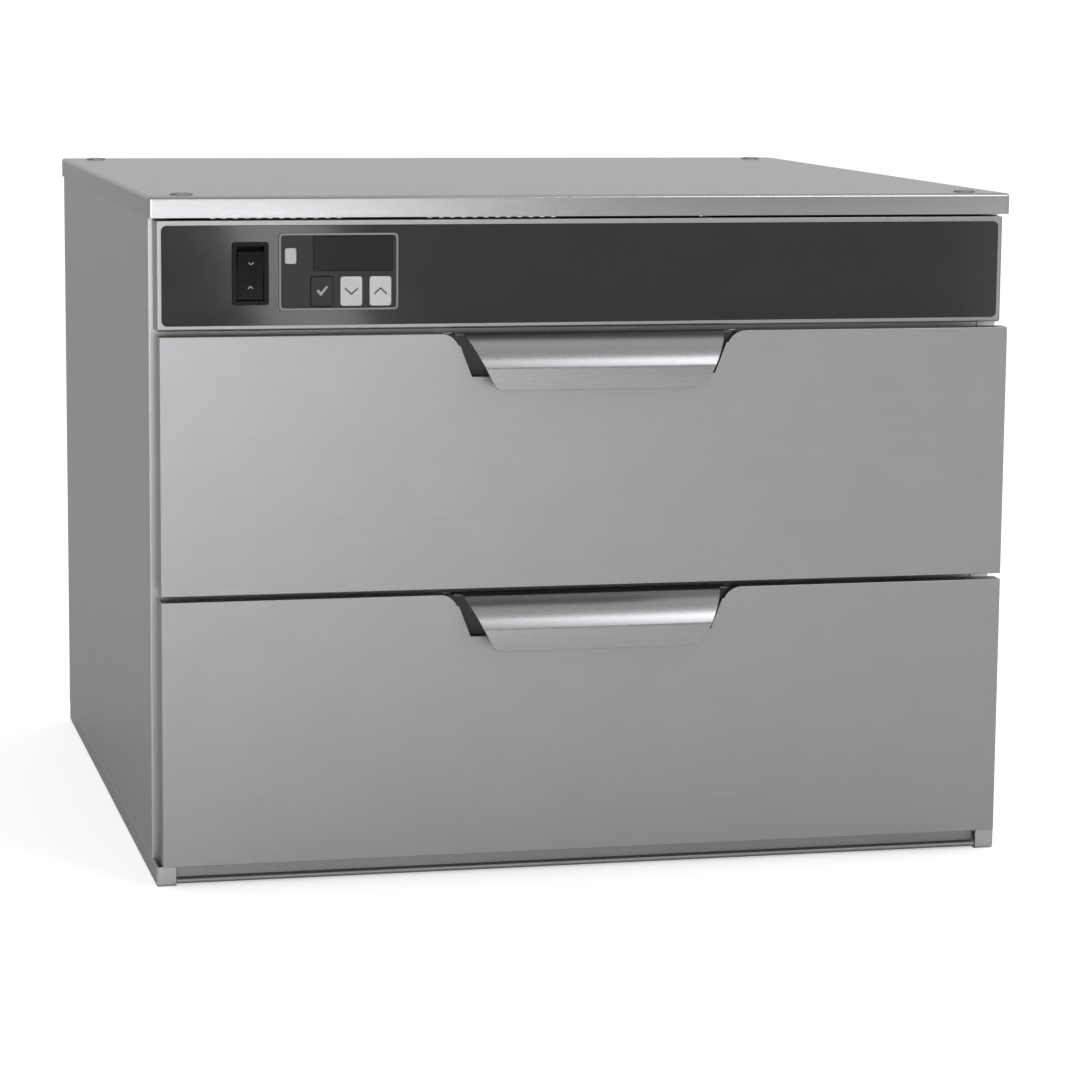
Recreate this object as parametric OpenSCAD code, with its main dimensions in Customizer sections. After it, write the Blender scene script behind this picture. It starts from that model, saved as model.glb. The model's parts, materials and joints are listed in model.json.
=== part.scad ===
// Countertop warming drawer: a stainless casing with a heated cavity and two
// drawers, each holding one food pan and running on rollers.
// X runs to the right, Y to the back and Z up. The origin is the middle of the
// casing's footprint, on the surface that it stands on.

/* [Casing] */
// Width over the lid
body_w = 625; // [560:1:760]
// Depth of the lid, front to back
body_d = 600; // [560:1:730]
// Sheet of the lid, the base pan and the drawer skins
skin_t = 1.5; // [1:0.1:1.8]
// Sheet of the side panels, the back panel and the fascia
side_t = 1.2; // [0.8:0.1:1.4]
// Height of the lid's folded edge
lid_edge_h = 15; // [10:0.5:20]
// Height of the base pan's folded edge
base_edge_h = 15; // [12:0.5:22]
// How far the side panels stand back from the lid's front edge
case_setback = 20; // [16:0.5:26]
// Width of the folded returns along the casing's front and back
return_w = 14; // [10:0.5:18]
// How far the base stands out in front of the lid
sill_proud = 6; // [3:0.5:9]
// Height of the sill's lower lip
sill_lip_h = 4; // [3:0.5:6]
// Gap between the sill and the surface that the base stands on
sill_lift = 1.5; // [1:0.25:2]

/* [Lid holes] */
// Distance of the plugged lid holes from the lid's edges
plug_edge = 26; // [20:1:45]
// Radius of the lid holes
plug_hole_r = 5.5; // [4:0.25:8]
// Radius of the plugs' heads
plug_head_r = 8; // [8.5:0.25:12]

/* [Leg holes] */
// Distance between the leg inserts across the width
leg_span_x = 540; // [440:1:545]
// Distance between the leg inserts along the depth
leg_span_y = 500; // [400:1:530]
// Radius of the thread in the leg inserts
leg_hole_r = 4.2; // [3:0.1:5.5]
// Outer radius of the leg inserts
leg_insert_r = 8; // [7:0.25:10]
// Height of the leg inserts above the base sheet
leg_insert_h = 12; // [8:0.5:16]

/* [Cavity] */
// Sheet of the cavity liner
liner_t = 1; // [0.8:0.1:1.2]
// Room between the pan's rim and the cavity's ceiling
rim_headroom = 18; // [14:0.5:22]
// Room under the lower pan
pan_floor_gap = 6; // [4:0.5:8]
// Thickness of the insulation behind the cavity
back_wall = 44; // [20:1:50]
// Thickness of the insulation over the cavity
roof_wall = 19; // [12:0.5:24]
// Radius of the heating cable
cable_r = 1.5; // [1:0.1:2]
// Distance between runs of the heating cable
cable_pitch = 40; // [30:1:60]
// Number of runs of the heating cable on each side
cable_runs = 8; // [4:2:8]

/* [Drawer fronts] */
// Height of the upper drawer front
upper_front_h = 180.5; // [176:0.5:230]
// Height of the lower drawer front
lower_front_h = 188; // [176:0.5:240]
// How far the drawer fronts stand out in front of the lid
front_proud = 15; // [10:0.5:20]
// How far the drawer fronts stand in from the lid's sides
front_inset = 5; // [4:0.25:8]
// Depth of the drawer skin's folded edges
front_edge_d = 14; // [10:0.5:18]
// How far the inner part of the front stands in from the skin's edges
front_step = 6; // [4:0.5:10]
// Gap between the two drawer fronts
drawer_gap = 4; // [3:0.25:6]
// Gap between the upper drawer front and the control fascia
fascia_gap = 2.5; // [2:0.25:4]
// Gap between the shut drawer and the casing's front
shut_gap = 1; // [0.5:0.25:2]

/* [Handle] */
// Width of the handle where it leaves the front
handle_root_w = 189; // [150:1:240]
// Width of the handle along its lower edge
handle_lip_w = 150; // [110:1:180]
// Height of the handle
handle_h = 38; // [32:0.5:46]
// How far the handle stands out in front of the drawer skin
handle_reach = 22; // [18:0.5:30]
// Height of the handle's upright lip
handle_lip_h = 14.5; // [10:0.5:18]
// Radius of the lip's lower corners
handle_corner_r = 8; // [4:0.5:12]
// Sheet of the handle
handle_t = 1.5; // [1.2:0.1:2]
// Width of the notch in the drawer skin along its top
notch_top_w = 203; // [170:1:260]
// Width of the notch along its bottom
notch_low_w = 176; // [150:1:230]
// Height of the notch
notch_h = 30; // [24:0.5:36]
// Radius of the notch's upper corners
notch_corner_r = 14; // [6:0.5:20]
// Depth of the pocket behind the notch
pocket_d = 11; // [8:0.5:14]

/* [Pans] */
// Width of a pan over its rim
pan_w = 508; // [400:1:512]
// Length of a pan over its rim, front to back
pan_l = 381; // [300:1:400]
// Depth of a pan
pan_h = 127; // [60:1:130]
// Width of a pan's rim
pan_rim = 13; // [10:0.5:16]
// Sheet of a pan
pan_t = 1; // [0.7:0.1:1.4]
// Corner radius of a pan's walls
pan_corner_r = 24; // [14:1:40]
// Radius where a pan's walls meet its floor
pan_floor_r = 5.5; // [4:0.5:12]
// How far a drawer's rail frame stands up round the pan's rim
pan_stop = 1; // [0.5:0.5:3]
// Distance from the top of a drawer front down to the pan's rim
rim_drop = 31; // [28:0.5:34]

/* [Slides] */
// Radius of the slide rollers
roller_r = 10; // [7:0.25:11]
// Width of the slide rollers
roller_w = 8; // [5:0.25:8.5]
// Radius of the roller pins
pin_r = 3; // [2:0.1:4]
// Clearance between a roller and its pin, or the rail that it carries
run_fit = 0.05; // [0.02:0.01:0.1]
// Sheet of the drawer rails
rail_t = 1.5; // [1.2:0.1:1.8]
// Clearance between a pan and the rails beside it
pan_play = 2; // [1:0.25:3]
// Height from the rails' outer flange up to the pan's rim
rail_rise = 12; // [9:0.5:14]
// Clearance between moving rails and the tracks around them
slide_play = 1; // [0.75:0.25:1.5]
// Distance between the rear roller and the cavity's back wall
rear_margin = 18; // [14:1:30]
// How far a drawer pulls out
drawer_travel = 410; // [340:1:420]

/* [Control strip] */
// Height of the control fascia
fascia_h = 76.5; // [70:0.5:100]
// Thickness of the black overlay on the fascia
overlay_t = 0.8; // [0.4:0.1:1.5]
// Width of the light margin round the overlay
overlay_margin = 3.5; // [2:0.25:6]
// Corner radius of the overlay
overlay_r = 4; // [2:0.5:8]

/* [Switch] */
// Distance of the switch from the middle of the casing
switch_x = 242.3; // [230:0.1:275]
// Width of the switch bezel
switch_w = 25.5; // [22:0.5:30]
// Height of the switch bezel
switch_h = 43.5; // [38:0.5:48]
// Angle that the rocker turns through
rocker_throw = 20; // [14:1:24]

/* [Controller] */
// Distance of the controller from the middle of the casing
controller_x = 180.5; // [90:0.1:182]
// Width of the controller bezel
controller_w = 84; // [80:0.5:100]
// Height of the controller bezel
controller_h = 53.5; // [52:0.5:62]
// Width of the bezel's light outline
bezel_line = 1.5; // [1:0.1:2.5]
// Width of the display window
window_w = 56; // [40:0.5:58]
// Height of the display window
window_h = 24; // [16:0.5:24.5]
// Width of a key
key_w = 15.4; // [12:0.1:16]
// Height of a key
key_h = 20.6; // [14:0.1:21]
// Distance between the keys' middles
key_pitch = 20.6; // [18:0.1:22]
// Travel of a key
key_travel = 0.8; // [0.4:0.1:1]

/* [Back] */
// Radius of the hole through the cord gland
gland_bore_r = 5.5; // [3:0.1:6.5]
// Outer radius of the cord gland's body
gland_r = 10; // [9:0.25:12]
// How far the cord gland stands out behind the lid
gland_len = 16; // [10:0.5:25]
// Distance of the cord gland from the middle of the casing
gland_x = 250; // [150:1:255]
// Number of vent slots in each group on the back panel
vent_count = 12; // [4:1:16]
// Width of a vent slot
vent_w = 4; // [3:0.25:6]
// Height of a vent slot
vent_h = 30; // [16:1:40]
// Distance between vent slots
vent_pitch = 10; // [8:0.5:12]

/* [Hidden] */
$fn = 64;
STEEL = "#b9bbbe";
STEEL_DARK = "#8f9296";
BLACK = "#1b1b1c";
WOOL = "#d9cfa6";

eps = 0.01;                                   // overshoot of a cut
fit = 0.3;                                    // gap round dropped-in pieces

// Heights, from the base up
lower_z = base_edge_h + 1;                    // lower edge of the lower front
lower_top = lower_z + lower_front_h;
upper_z = lower_top + drawer_gap;
upper_top = upper_z + upper_front_h;
fascia_z = upper_top + fascia_gap;
fascia_top = fascia_z + fascia_h;
lid_edge_z = fascia_top + skin_t;             // lower edge of the lid's fold
body_h = lid_edge_z + lid_edge_h;
lower_rim = lower_top - rim_drop;             // top of each pan's rim
upper_rim = upper_top - rim_drop;
cavity_floor = lower_rim - pan_h - pan_floor_gap;
cavity_roof = upper_rim + rim_headroom;
shelf_z = cavity_roof + liner_t + roof_wall;  // underside of the shelf

// Widths and depths
lid_x = body_w / 2;
case_x = lid_x - skin_t;                      // outer face of the side panels
inner_x = case_x - side_t;                    // inner face of the side panels
frame_x = case_x - skin_t;                    // side of the front frame
lid_front = -body_d / 2;
lid_back = body_d / 2;
case_front = lid_front + case_setback;
case_back = lid_back - skin_t;                // outer face of the back panel
frame_front = case_front + side_t;            // front of the front frame
frame_back = frame_front + skin_t;
sill_front = lid_front - sill_proud;
skin_front = lid_front - front_proud;         // outer face of the drawer skins
skin_back = skin_front + front_edge_d;
front_x = lid_x - front_inset;                // side of the drawer fronts
liner_back = case_front - shut_gap;           // inner face of the shut fronts
core_x = front_x - front_step;

// Slides, across the width from the pan outwards
pan_x = pan_w / 2;
rail_in = pan_x + pan_play;                   // inner face of the rail's web
rail_out = rail_in + rail_t;
roller_in = rail_out + 1.5;
roller_out = roller_in + roller_w;
rail_flange_x = roller_out + 3;
track_web = rail_flange_x + 1.5;              // inner face of the track's web
cavity_x = track_web + rail_t;                // inner face of the cavity
wall_x = cavity_x + liner_t;                  // outer face of the liner
pin_head = 1;                                 // thickness of a pin's head
pin_head_r = pin_r + 1.5;

// Slides, along the depth
pan_y0 = liner_back + 4.5;                    // front edge of the pan's rim
pan_y1 = pan_y0 + pan_l;
cavity_y1 = case_back - side_t - back_wall;   // cavity's back wall, inner face
rear_roller_y = cavity_y1 - rear_margin;
rail_y1 = rear_roller_y + roller_r - 1;
front_roller_y = frame_back + roller_r + 4;
track_y0 = frame_back + 0.5;
track_y1 = cavity_y1 - 2;
stop_h = 6;                                   // height of the stop tabs
stop_y = rear_roller_y - drawer_travel
    - sqrt(pow(roller_r, 2) - pow(roller_r - stop_h, 2)) - 0.1;

// Slides, down from the pan's rim
function rim_under(rim) = rim - pan_t;
function flange_z(rim) = rim_under(rim) - rail_rise;
function front_roller_z(rim) = flange_z(rim) - roller_r - run_fit;
function rear_roller_z(rim) = front_roller_z(rim) - slide_play;
function track_floor(rim) = rear_roller_z(rim) - roller_r - run_fit;
function track_roof(rim) = flange_z(rim) + rail_t + slide_play;

// Front frame
rail_low = lower_rim + 10;                    // middle rail, lower edge
rail_high = upper_rim - pan_h - 4;            // middle rail, upper edge

// Thermostat and sensor on the cavity's back wall
thermostat_x = -120;
thermostat_z = cavity_roof - 40;
thermostat_r = 8;
sensor_x = 190;
sensor_z = cavity_roof - 7;
sensor_r = 3;

// Control strip
fascia_front = lid_front + 0.5;
overlay_front = fascia_front - overlay_t;
fascia_x = lid_x - front_inset;
strip_z = (fascia_z + fascia_top) / 2;
strip_shift = 2.4;                            // controls sit above the middle
controls_z = strip_z + strip_shift;
switch_z = controls_z - 1;
bezel_t = 1.3;                                // controller bezel, in front
controller_front = overlay_front - bezel_t;
housing_w = controller_w - bezel_line;
housing_h = controller_h - bezel_line;
housing_d = 52;
housing_wall = 1;
keys_z = controls_z - controller_h / 2 + key_h / 2 + 2.8;
keys_x = -controller_x + 8.7;                 // middle key
window_x = -controller_x + controller_w / 2 - window_w / 2 - 4;
window_z = controls_z + controller_h / 2 - window_h / 2 - 2.2;
lens_w = 8;
lens_h = 11;
lens_x = -controller_x - controller_w / 2 + 8.2;
lens_z = window_z - 1.5;
key_r = 2;
key_proud = 0.9;
key_play = 0.2;
face_t = 2;                                   // controller's face plate
board_y = controller_front + face_t + 4;
switch_body_w = switch_w - 3;
switch_body_h = switch_h - 3;
rocker_w = switch_w - 7;
rocker_half = switch_h / 2 - 4.7;
rocker_pivot_y = overlay_front + 5;
rocker_pin_r = 1.5;

// ---------------------------------------------------------------- helpers

// Flat rectangle with round corners, centred
module round_rect(w, h, r) {
    square([w - 2 * r, h], center = true);
    square([w, h - 2 * r], center = true);
    for (sx = [-1, 1], sy = [-1, 1])
        translate([sx * (w / 2 - r), sy * (h / 2 - r)]) circle(r);
}

// Box from its lowest to its highest corner
module box(low, high) {
    translate(low) cube(high - low);
}

// Plate that faces the front: an outline in X and Z, from y0 back to y1
module front_plate(y0, y1) {
    translate([0, y1, 0]) rotate([90, 0, 0])
        linear_extrude(y1 - y0) children();
}

// Bar along X with its section in Y and Z, from -half to +half
module cross_bar(half) {
    translate([-half, 0, 0]) rotate([90, 0, 90])
        linear_extrude(2 * half) children();
}

// Cylinder along X, from x0 to x1
module rod_x(x0, x1, y, z, r) {
    translate([x0, y, z]) rotate([0, 90, 0]) cylinder(h = x1 - x0, r = r);
}

// Cylinder along Y, from y0 to y1
module rod_y(y0, y1, x, z, r) {
    translate([x, y1, z]) rotate([90, 0, 0]) cylinder(h = y1 - y0, r = r);
}

// The same piece on the left and on the right
module both_sides() {
    children();
    mirror([1, 0, 0]) children();
}

// ----------------------------------------------------------------- casing

module lid_hole_places() {
    for (sx = [-1, 1], sy = [-1, 1])
        translate([sx * (lid_x - plug_edge), sy * (lid_back - plug_edge), 0])
            children();
}

module leg_places() {
    for (sx = [-1, 1], sy = [-1, 1])
        translate([sx * leg_span_x / 2, sy * leg_span_y / 2, 0]) children();
}

module top_panel() {
    color(STEEL) difference() {
        box([-lid_x, lid_front, lid_edge_z], [lid_x, lid_back, body_h]);
        box([-case_x, lid_front + skin_t, lid_edge_z - eps],
            [case_x, case_back, body_h - skin_t]);
        lid_hole_places()
            translate([0, 0, body_h - 2 * skin_t])
                cylinder(h = 4 * skin_t, r = plug_hole_r);
    }
}

module top_hole_plugs() {
    color(STEEL_DARK) lid_hole_places() {
        translate([0, 0, body_h]) cylinder(h = 1.2, r = plug_head_r);
        translate([0, 0, body_h - 6])
            cylinder(h = 6 + eps, r = plug_hole_r - 0.1);
    }
}

// Left side panel, with its returns at the front and the back
module side_sheet() {
    box([-case_x, case_front, base_edge_h], [-inner_x, case_back, body_h - skin_t]);
    box([-case_x, case_front, base_edge_h],
        [-case_x + return_w, frame_front, body_h - skin_t]);
    box([-case_x, case_back - 2 * side_t, base_edge_h],
        [-case_x + return_w, case_back - side_t, body_h - skin_t]);
}

// Room that the back panel takes at the side panels' rear edge
module back_panel_room() {
    box([-case_x - eps, case_back - side_t, 0],
        [case_x + eps, case_back + eps, body_h]);
}

module left_side_panel() {
    color(STEEL) difference() {
        side_sheet();
        back_panel_room();
        back_screw_places() rod_y(case_back - 8, case_back + 2, 0, 0, 1.6);
    }
}

module right_side_panel() {
    color(STEEL) difference() {
        mirror([1, 0, 0]) side_sheet();
        back_panel_room();
        back_screw_places() rod_y(case_back - 8, case_back + 2, 0, 0, 1.6);
    }
}

// Screws of the back panel, down both edges
module back_screw_places() {
    for (sx = [-1, 1], i = [0:3])
        translate([sx * (case_x - return_w / 2 - 1), 0,
                   base_edge_h + 20 + i * (lid_edge_z - base_edge_h - 40) / 3])
            children();
}

module back_panel() {
    vent_z = shelf_z + side_t + (lid_edge_z - shelf_z - side_t) / 2;
    color(STEEL) difference() {
        box([-case_x, case_back - side_t, base_edge_h],
            [case_x, case_back, body_h - skin_t]);
        for (group = [-130, 60], i = [0:vent_count - 1])
            translate([group + (i - (vent_count - 1) / 2) * vent_pitch, 0, vent_z])
                front_plate(case_back - 2 * side_t, case_back + side_t)
                    round_rect(vent_w, vent_h, vent_w / 2 - 0.05);
        rod_y(case_back - 2 * side_t, case_back + side_t, gland_x, vent_z,
              gland_r - 2 + 0.1);
        back_screw_places() rod_y(case_back - 8, case_back + 2, 0, 0, 2.1);
    }
}

module back_panel_screws() {
    color(STEEL_DARK) back_screw_places() {
        rod_y(case_back, case_back + 2, 0, 0, 3.8);
        rod_y(case_back - 8, case_back + eps, 0, 0, 1.55);
    }
}

module base_pan() {
    plate_y0 = sill_front + return_w;
    color(STEEL) difference() {
        union() {
            box([-case_x, plate_y0, 0], [case_x, case_back, skin_t]);
            both_sides() {
                box([-case_x, sill_front, 0],
                    [-case_x + skin_t, case_back, base_edge_h]);
                box([-case_x, sill_front, 0],
                    [-case_x + return_w, sill_front + skin_t, base_edge_h - 0.5]);
                box([-case_x, sill_front, 0],
                    [-case_x + return_w, plate_y0 + eps, skin_t]);
            }
            box([-case_x, case_back - skin_t, 0], [case_x, case_back, base_edge_h]);
        }
        leg_places() translate([0, 0, -eps])
            cylinder(h = skin_t + 2 * eps, r = leg_hole_r);
    }
}

// Sill between the corner posts: an upright with a rolled lip along its foot
module base_front_sill() {
    half = case_x - return_w - 0.2;
    face = lid_front;
    top = base_edge_h - 1;
    lip_r = sill_lip_h / 2;
    nose = sill_front + 1;
    color(STEEL) cross_bar(half) {
        translate([nose + lip_r, sill_lift + lip_r]) circle(lip_r);
        translate([nose + lip_r, sill_lift])
            square([face - nose - lip_r + skin_t, sill_lip_h]);
        translate([face, sill_lift]) square([skin_t, top - sill_lift]);
        translate([face, top - skin_t])
            square([case_front - 1 - face, skin_t]);
        translate([face, sill_lift])
            square([case_front - 4 - face, skin_t]);
    }
}

module leg_inserts() {
    color(STEEL_DARK) leg_places() translate([0, 0, skin_t]) difference() {
        cylinder(h = leg_insert_h, r = leg_insert_r);
        translate([0, 0, -eps])
            cylinder(h = leg_insert_h + 2 * eps, r = leg_hole_r);
    }
}

module front_frame() {
    color(STEEL) difference() {
        box([-frame_x, frame_front, skin_t], [frame_x, frame_back, shelf_z]);
        box([-cavity_x, frame_front - eps, cavity_floor],
            [cavity_x, frame_back + eps, rail_low]);
        box([-cavity_x, frame_front - eps, rail_high],
            [cavity_x, frame_back + eps, cavity_roof]);
    }
}

// ----------------------------------------------------------------- cavity

module cavity_liner() {
    color(STEEL) difference() {
        box([-wall_x, frame_back, cavity_floor - liner_t],
            [wall_x, cavity_y1 + liner_t, cavity_roof + liner_t]);
        box([-cavity_x, frame_back - eps, cavity_floor],
            [cavity_x, cavity_y1, cavity_roof]);
        rod_y(cavity_y1 - eps, cavity_y1 + 2 * liner_t, sensor_x, sensor_z,
              sensor_r + run_fit);
    }
}

// One side's heating cable: level runs joined by half turns
module cable_loop(x) {
    y0 = frame_back + 40;
    y1 = cavity_y1 - 30;
    z0 = cavity_floor + 26;
    for (i = [0:cable_runs - 1])
        rod_y(y0, y1, x, z0 + i * cable_pitch, cable_r);
    for (i = [0:cable_runs - 2]) {
        back = i % 2 == 0;
        translate([x, back ? y1 : y0, z0 + (i + 0.5) * cable_pitch])
            rotate([0, 90, 0]) rotate([0, 0, back ? 0 : 180])
                rotate_extrude(angle = 180)
                    translate([cable_pitch / 2, 0]) circle(cable_r, $fn = 24);
    }
}

module heating_cables() {
    x = wall_x + 0.3 + cable_r;
    color("#7a3b2a") {
        cable_loop(-x);
        cable_loop(x);
    }
}

module side_insulation() {
    x0 = wall_x + 0.6 + 2 * cable_r;
    color(WOOL) both_sides()
        box([-inner_x + 0.2, frame_back + 0.5, cavity_floor - 4],
            [-x0, cavity_y1 - 0.5, shelf_z - 0.5]);
}

module top_insulation() {
    color(WOOL)
        box([-wall_x, frame_back + 0.5, cavity_roof + liner_t],
            [wall_x, cavity_y1, shelf_z]);
}

module base_insulation() {
    color(WOOL) difference() {
        box([-wall_x, frame_back + 0.5, skin_t],
            [wall_x, cavity_y1, cavity_floor - liner_t]);
        leg_places() translate([0, 0, skin_t - eps])
            cylinder(h = leg_insert_h + 1, r = leg_insert_r + fit);
    }
}

module back_insulation() {
    color(WOOL) difference() {
        box([-inner_x + 0.2, cavity_y1 + liner_t, base_edge_h + 4],
            [inner_x - 0.2, case_back - 2 * side_t - 0.2, shelf_z]);
        rod_y(cavity_y1, cavity_y1 + liner_t + 13, thermostat_x, thermostat_z,
              thermostat_r + fit);
        rod_y(cavity_y1, case_back, sensor_x, sensor_z, sensor_r + 2.4);
        back_screw_places() rod_y(case_back - 9, case_back, 0, 0, 2.5);
        leg_places() translate([0, 0, skin_t])
            cylinder(h = leg_insert_h + 1, r = leg_insert_r + fit);
    }
}

module high_limit_thermostat() {
    color("#2c2c30")
        translate([thermostat_x, 0, thermostat_z]) {
            rod_y(cavity_y1 + liner_t, cavity_y1 + liner_t + 9, 0, 0, thermostat_r);
            for (sx = [-1, 1])
                box([sx * 4 - 1.5, cavity_y1 + liner_t + 8, -0.5],
                    [sx * 4 + 1.5, cavity_y1 + liner_t + 12.5, 0.5]);
        }
}

module temperature_sensor() {
    color(STEEL_DARK) {
        rod_y(cavity_y1 - 14, cavity_y1 + 20, sensor_x, sensor_z, sensor_r);
        rod_y(cavity_y1 + liner_t, cavity_y1 + liner_t + 3, sensor_x, sensor_z,
              sensor_r + 2);
    }
}

// ---------------------------------------------------------- control parts

module control_fascia() {
    color(STEEL) difference() {
        box([-fascia_x, fascia_front, fascia_z], [fascia_x, case_front, fascia_top]);
        box([-fascia_x + side_t, fascia_front + side_t, fascia_z + side_t],
            [fascia_x - side_t, case_front + eps, fascia_top - side_t]);
        switch_hole(fascia_front - eps, fascia_front + 2 * side_t);
        controller_hole(fascia_front - eps, fascia_front + 2 * side_t);
    }
}

module switch_hole(y0, y1) {
    box([-switch_x - switch_body_w / 2 - 0.1, y0, switch_z - switch_body_h / 2 - 0.1],
        [-switch_x + switch_body_w / 2 + 0.1, y1, switch_z + switch_body_h / 2 + 0.1]);
}

module controller_hole(y0, y1) {
    box([-controller_x - housing_w / 2 - 0.1, y0, controls_z - housing_h / 2 - 0.1],
        [-controller_x + housing_w / 2 + 0.1, y1, controls_z + housing_h / 2 + 0.1]);
}

module control_overlay() {
    color(BLACK) difference() {
        translate([0, 0, strip_z]) front_plate(overlay_front, fascia_front)
            round_rect(2 * (fascia_x - overlay_margin), fascia_h - 2 * overlay_margin,
                       overlay_r);
        switch_hole(overlay_front - eps, fascia_front + eps);
        controller_hole(overlay_front - eps, fascia_front + eps);
    }
}

// Places of the three keys: 0 is set, 1 is down, 2 is up
module key_place(i) {
    translate([keys_x + (i - 1) * key_pitch, 0, keys_z]) children();
}

module controller_housing() {
    body_back = fascia_front + housing_d;
    color(BLACK) difference() {
        union() {
            translate([-controller_x, 0, controls_z])
                front_plate(controller_front, overlay_front + eps)
                    round_rect(controller_w - 2 * bezel_line,
                               controller_h - 2 * bezel_line, 2);
            box([-controller_x - housing_w / 2, overlay_front,
                 controls_z - housing_h / 2],
                [-controller_x + housing_w / 2, body_back,
                 controls_z + housing_h / 2]);
        }
        box([-controller_x - housing_w / 2 + housing_wall, controller_front + face_t,
             controls_z - housing_h / 2 + housing_wall],
            [-controller_x + housing_w / 2 - housing_wall, body_back - housing_wall,
             controls_z + housing_h / 2 - housing_wall]);
        for (i = [0:2]) key_place(i)
            front_plate(controller_front - eps, controller_front + 2 * face_t)
                round_rect(key_w + 2 * key_play, key_h + 2 * key_play,
                           key_r + key_play);
        translate([window_x, 0, window_z])
            front_plate(controller_front - eps, controller_front + 1)
                round_rect(window_w + 0.2, window_h + 0.2, 1.1);
        translate([window_x, 0, window_z])
            front_plate(controller_front, controller_front + 2 * face_t)
                square([window_w - 4, window_h - 4], center = true);
        translate([lens_x, 0, lens_z])
            front_plate(controller_front - eps, controller_front + 2 * face_t)
                round_rect(lens_w + 0.2, lens_h + 0.2, 1.6);
    }
}

module controller_bezel() {
    color("#a9abad") translate([-controller_x, 0, controls_z])
        front_plate(controller_front - 0.4, overlay_front) difference() {
            round_rect(controller_w, controller_h, 3);
            round_rect(controller_w - 2 * bezel_line, controller_h - 2 * bezel_line, 2);
        }
}

module display_window() {
    color("#232326") translate([window_x, 0, window_z])
        front_plate(controller_front + 0.1, controller_front + 1)
            round_rect(window_w, window_h, 1);
}

module display_module() {
    color("#3a1f1c") translate([window_x, 0, window_z])
        front_plate(controller_front + 1.2, board_y)
            square([window_w - 8, window_h - 6], center = true);
}

module indicator_lens() {
    color("#e8e8e4") translate([lens_x, 0, lens_z])
        front_plate(controller_front - 0.3, board_y)
            round_rect(lens_w, lens_h, 1.5);
}

module control_board() {
    color("#2f6b3c") {
        box([-controller_x - housing_w / 2 + housing_wall, board_y,
             controls_z - housing_h / 2 + housing_wall],
            [-controller_x + housing_w / 2 - housing_wall, board_y + 1.6,
             controls_z + housing_h / 2 - housing_wall]);
        for (i = [0:2]) key_place(i)
            box([-3, board_y - 1, -3], [3, board_y + eps, 3]);
        for (sx = [-1, 1])
            box([-controller_x + sx * 18 - 9, board_y + 1.6 - eps, controls_z - 14],
                [-controller_x + sx * 18 + 9, board_y + 16, controls_z + 8]);
    }
}

// A key, from in front of the face plate back to the board's contact
module key_cap(i) {
    key_place(i)
        front_plate(controller_front - key_proud, board_y - 1 - key_travel - 0.1)
            round_rect(key_w, key_h, key_r);
}

module set_key() {
    color("#303032") key_cap(0);
}

module down_key() {
    color("#c9cbcd") key_cap(1);
}

module up_key() {
    color("#c9cbcd") key_cap(2);
}

module switch_housing() {
    back = overlay_front + 30;
    color(BLACK) difference() {
        translate([-switch_x, 0, switch_z]) union() {
            front_plate(overlay_front - 1.6, overlay_front)
                round_rect(switch_w, switch_h, 2);
            box([-switch_body_w / 2, overlay_front - eps, -switch_body_h / 2],
                [switch_body_w / 2, back, switch_body_h / 2]);
            for (sx = [-1, 1])
                box([sx * 5 - 0.4, back - eps, -3], [sx * 5 + 0.4, back + 9, 3]);
        }
        translate([-switch_x, 0, switch_z])
            box([-rocker_w / 2 - 0.3, overlay_front - 2, -rocker_half - 1.7],
                [rocker_w / 2 + 0.3, overlay_front + 16, rocker_half + 1.7]);
        rod_x(-switch_x - rocker_w / 2 - 1.6, -switch_x + rocker_w / 2 + 1.6,
              rocker_pivot_y, switch_z, rocker_pin_r + run_fit);
    }
}

// Rocker at rest with its lower half pressed in; its pivot runs along X
module switch_rocker() {
    nose = -8.6;
    valley = -5.6;
    color("#101011") translate([-switch_x, rocker_pivot_y, switch_z])
        rotate([rocker_throw / 2, 0, 0]) {
            cross_bar(rocker_w / 2)
                polygon([[nose, rocker_half], [valley, 0], [nose, -rocker_half],
                         [-3, -rocker_half], [3, -5], [3, 5], [-3, rocker_half]]);
            rod_x(-rocker_w / 2 - 1.5, rocker_w / 2 + 1.5, 0, 0, rocker_pin_r);
        }
}

module component_shelf() {
    color(STEEL)
        box([-inner_x, frame_front, shelf_z],
            [inner_x, case_back - 2 * side_t, shelf_z + side_t]);
}

module terminal_block() {
    color("#d8d2c0") difference() {
        box([gland_x - 40, case_back - 95, shelf_z + side_t],
            [gland_x + 10, case_back - 73, shelf_z + side_t + 20]);
        for (i = [0:3])
            translate([gland_x - 34 + i * 12.5, case_back - 84, shelf_z + side_t + 8])
                cylinder(h = 20, r = 3);
    }
}

module power_relay() {
    color("#c7c9cc") {
        box([-40, 60, shelf_z + side_t], [0, 92, shelf_z + side_t + 3]);
        box([-36, 62, shelf_z + side_t + 3 - eps], [-4, 90, shelf_z + side_t + 34]);
    }
}

module cord_gland() {
    z = shelf_z + side_t + (lid_edge_z - shelf_z - side_t) / 2;
    color(BLACK) difference() {
        union() {
            rod_y(case_back, case_back + 5, gland_x, z, gland_r + 3);
            rod_y(case_back, lid_back + gland_len, gland_x, z, gland_r - 1);
            rod_y(case_back - 14, case_back + eps, gland_x, z, gland_r - 2);
            rod_y(case_back - side_t - 5, case_back - side_t, gland_x, z,
                  gland_r + 2);
        }
        rod_y(case_back - 20, lid_back + gland_len + 1, gland_x, z, gland_bore_r);
    }
}

// ----------------------------------------------------------------- tracks

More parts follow.
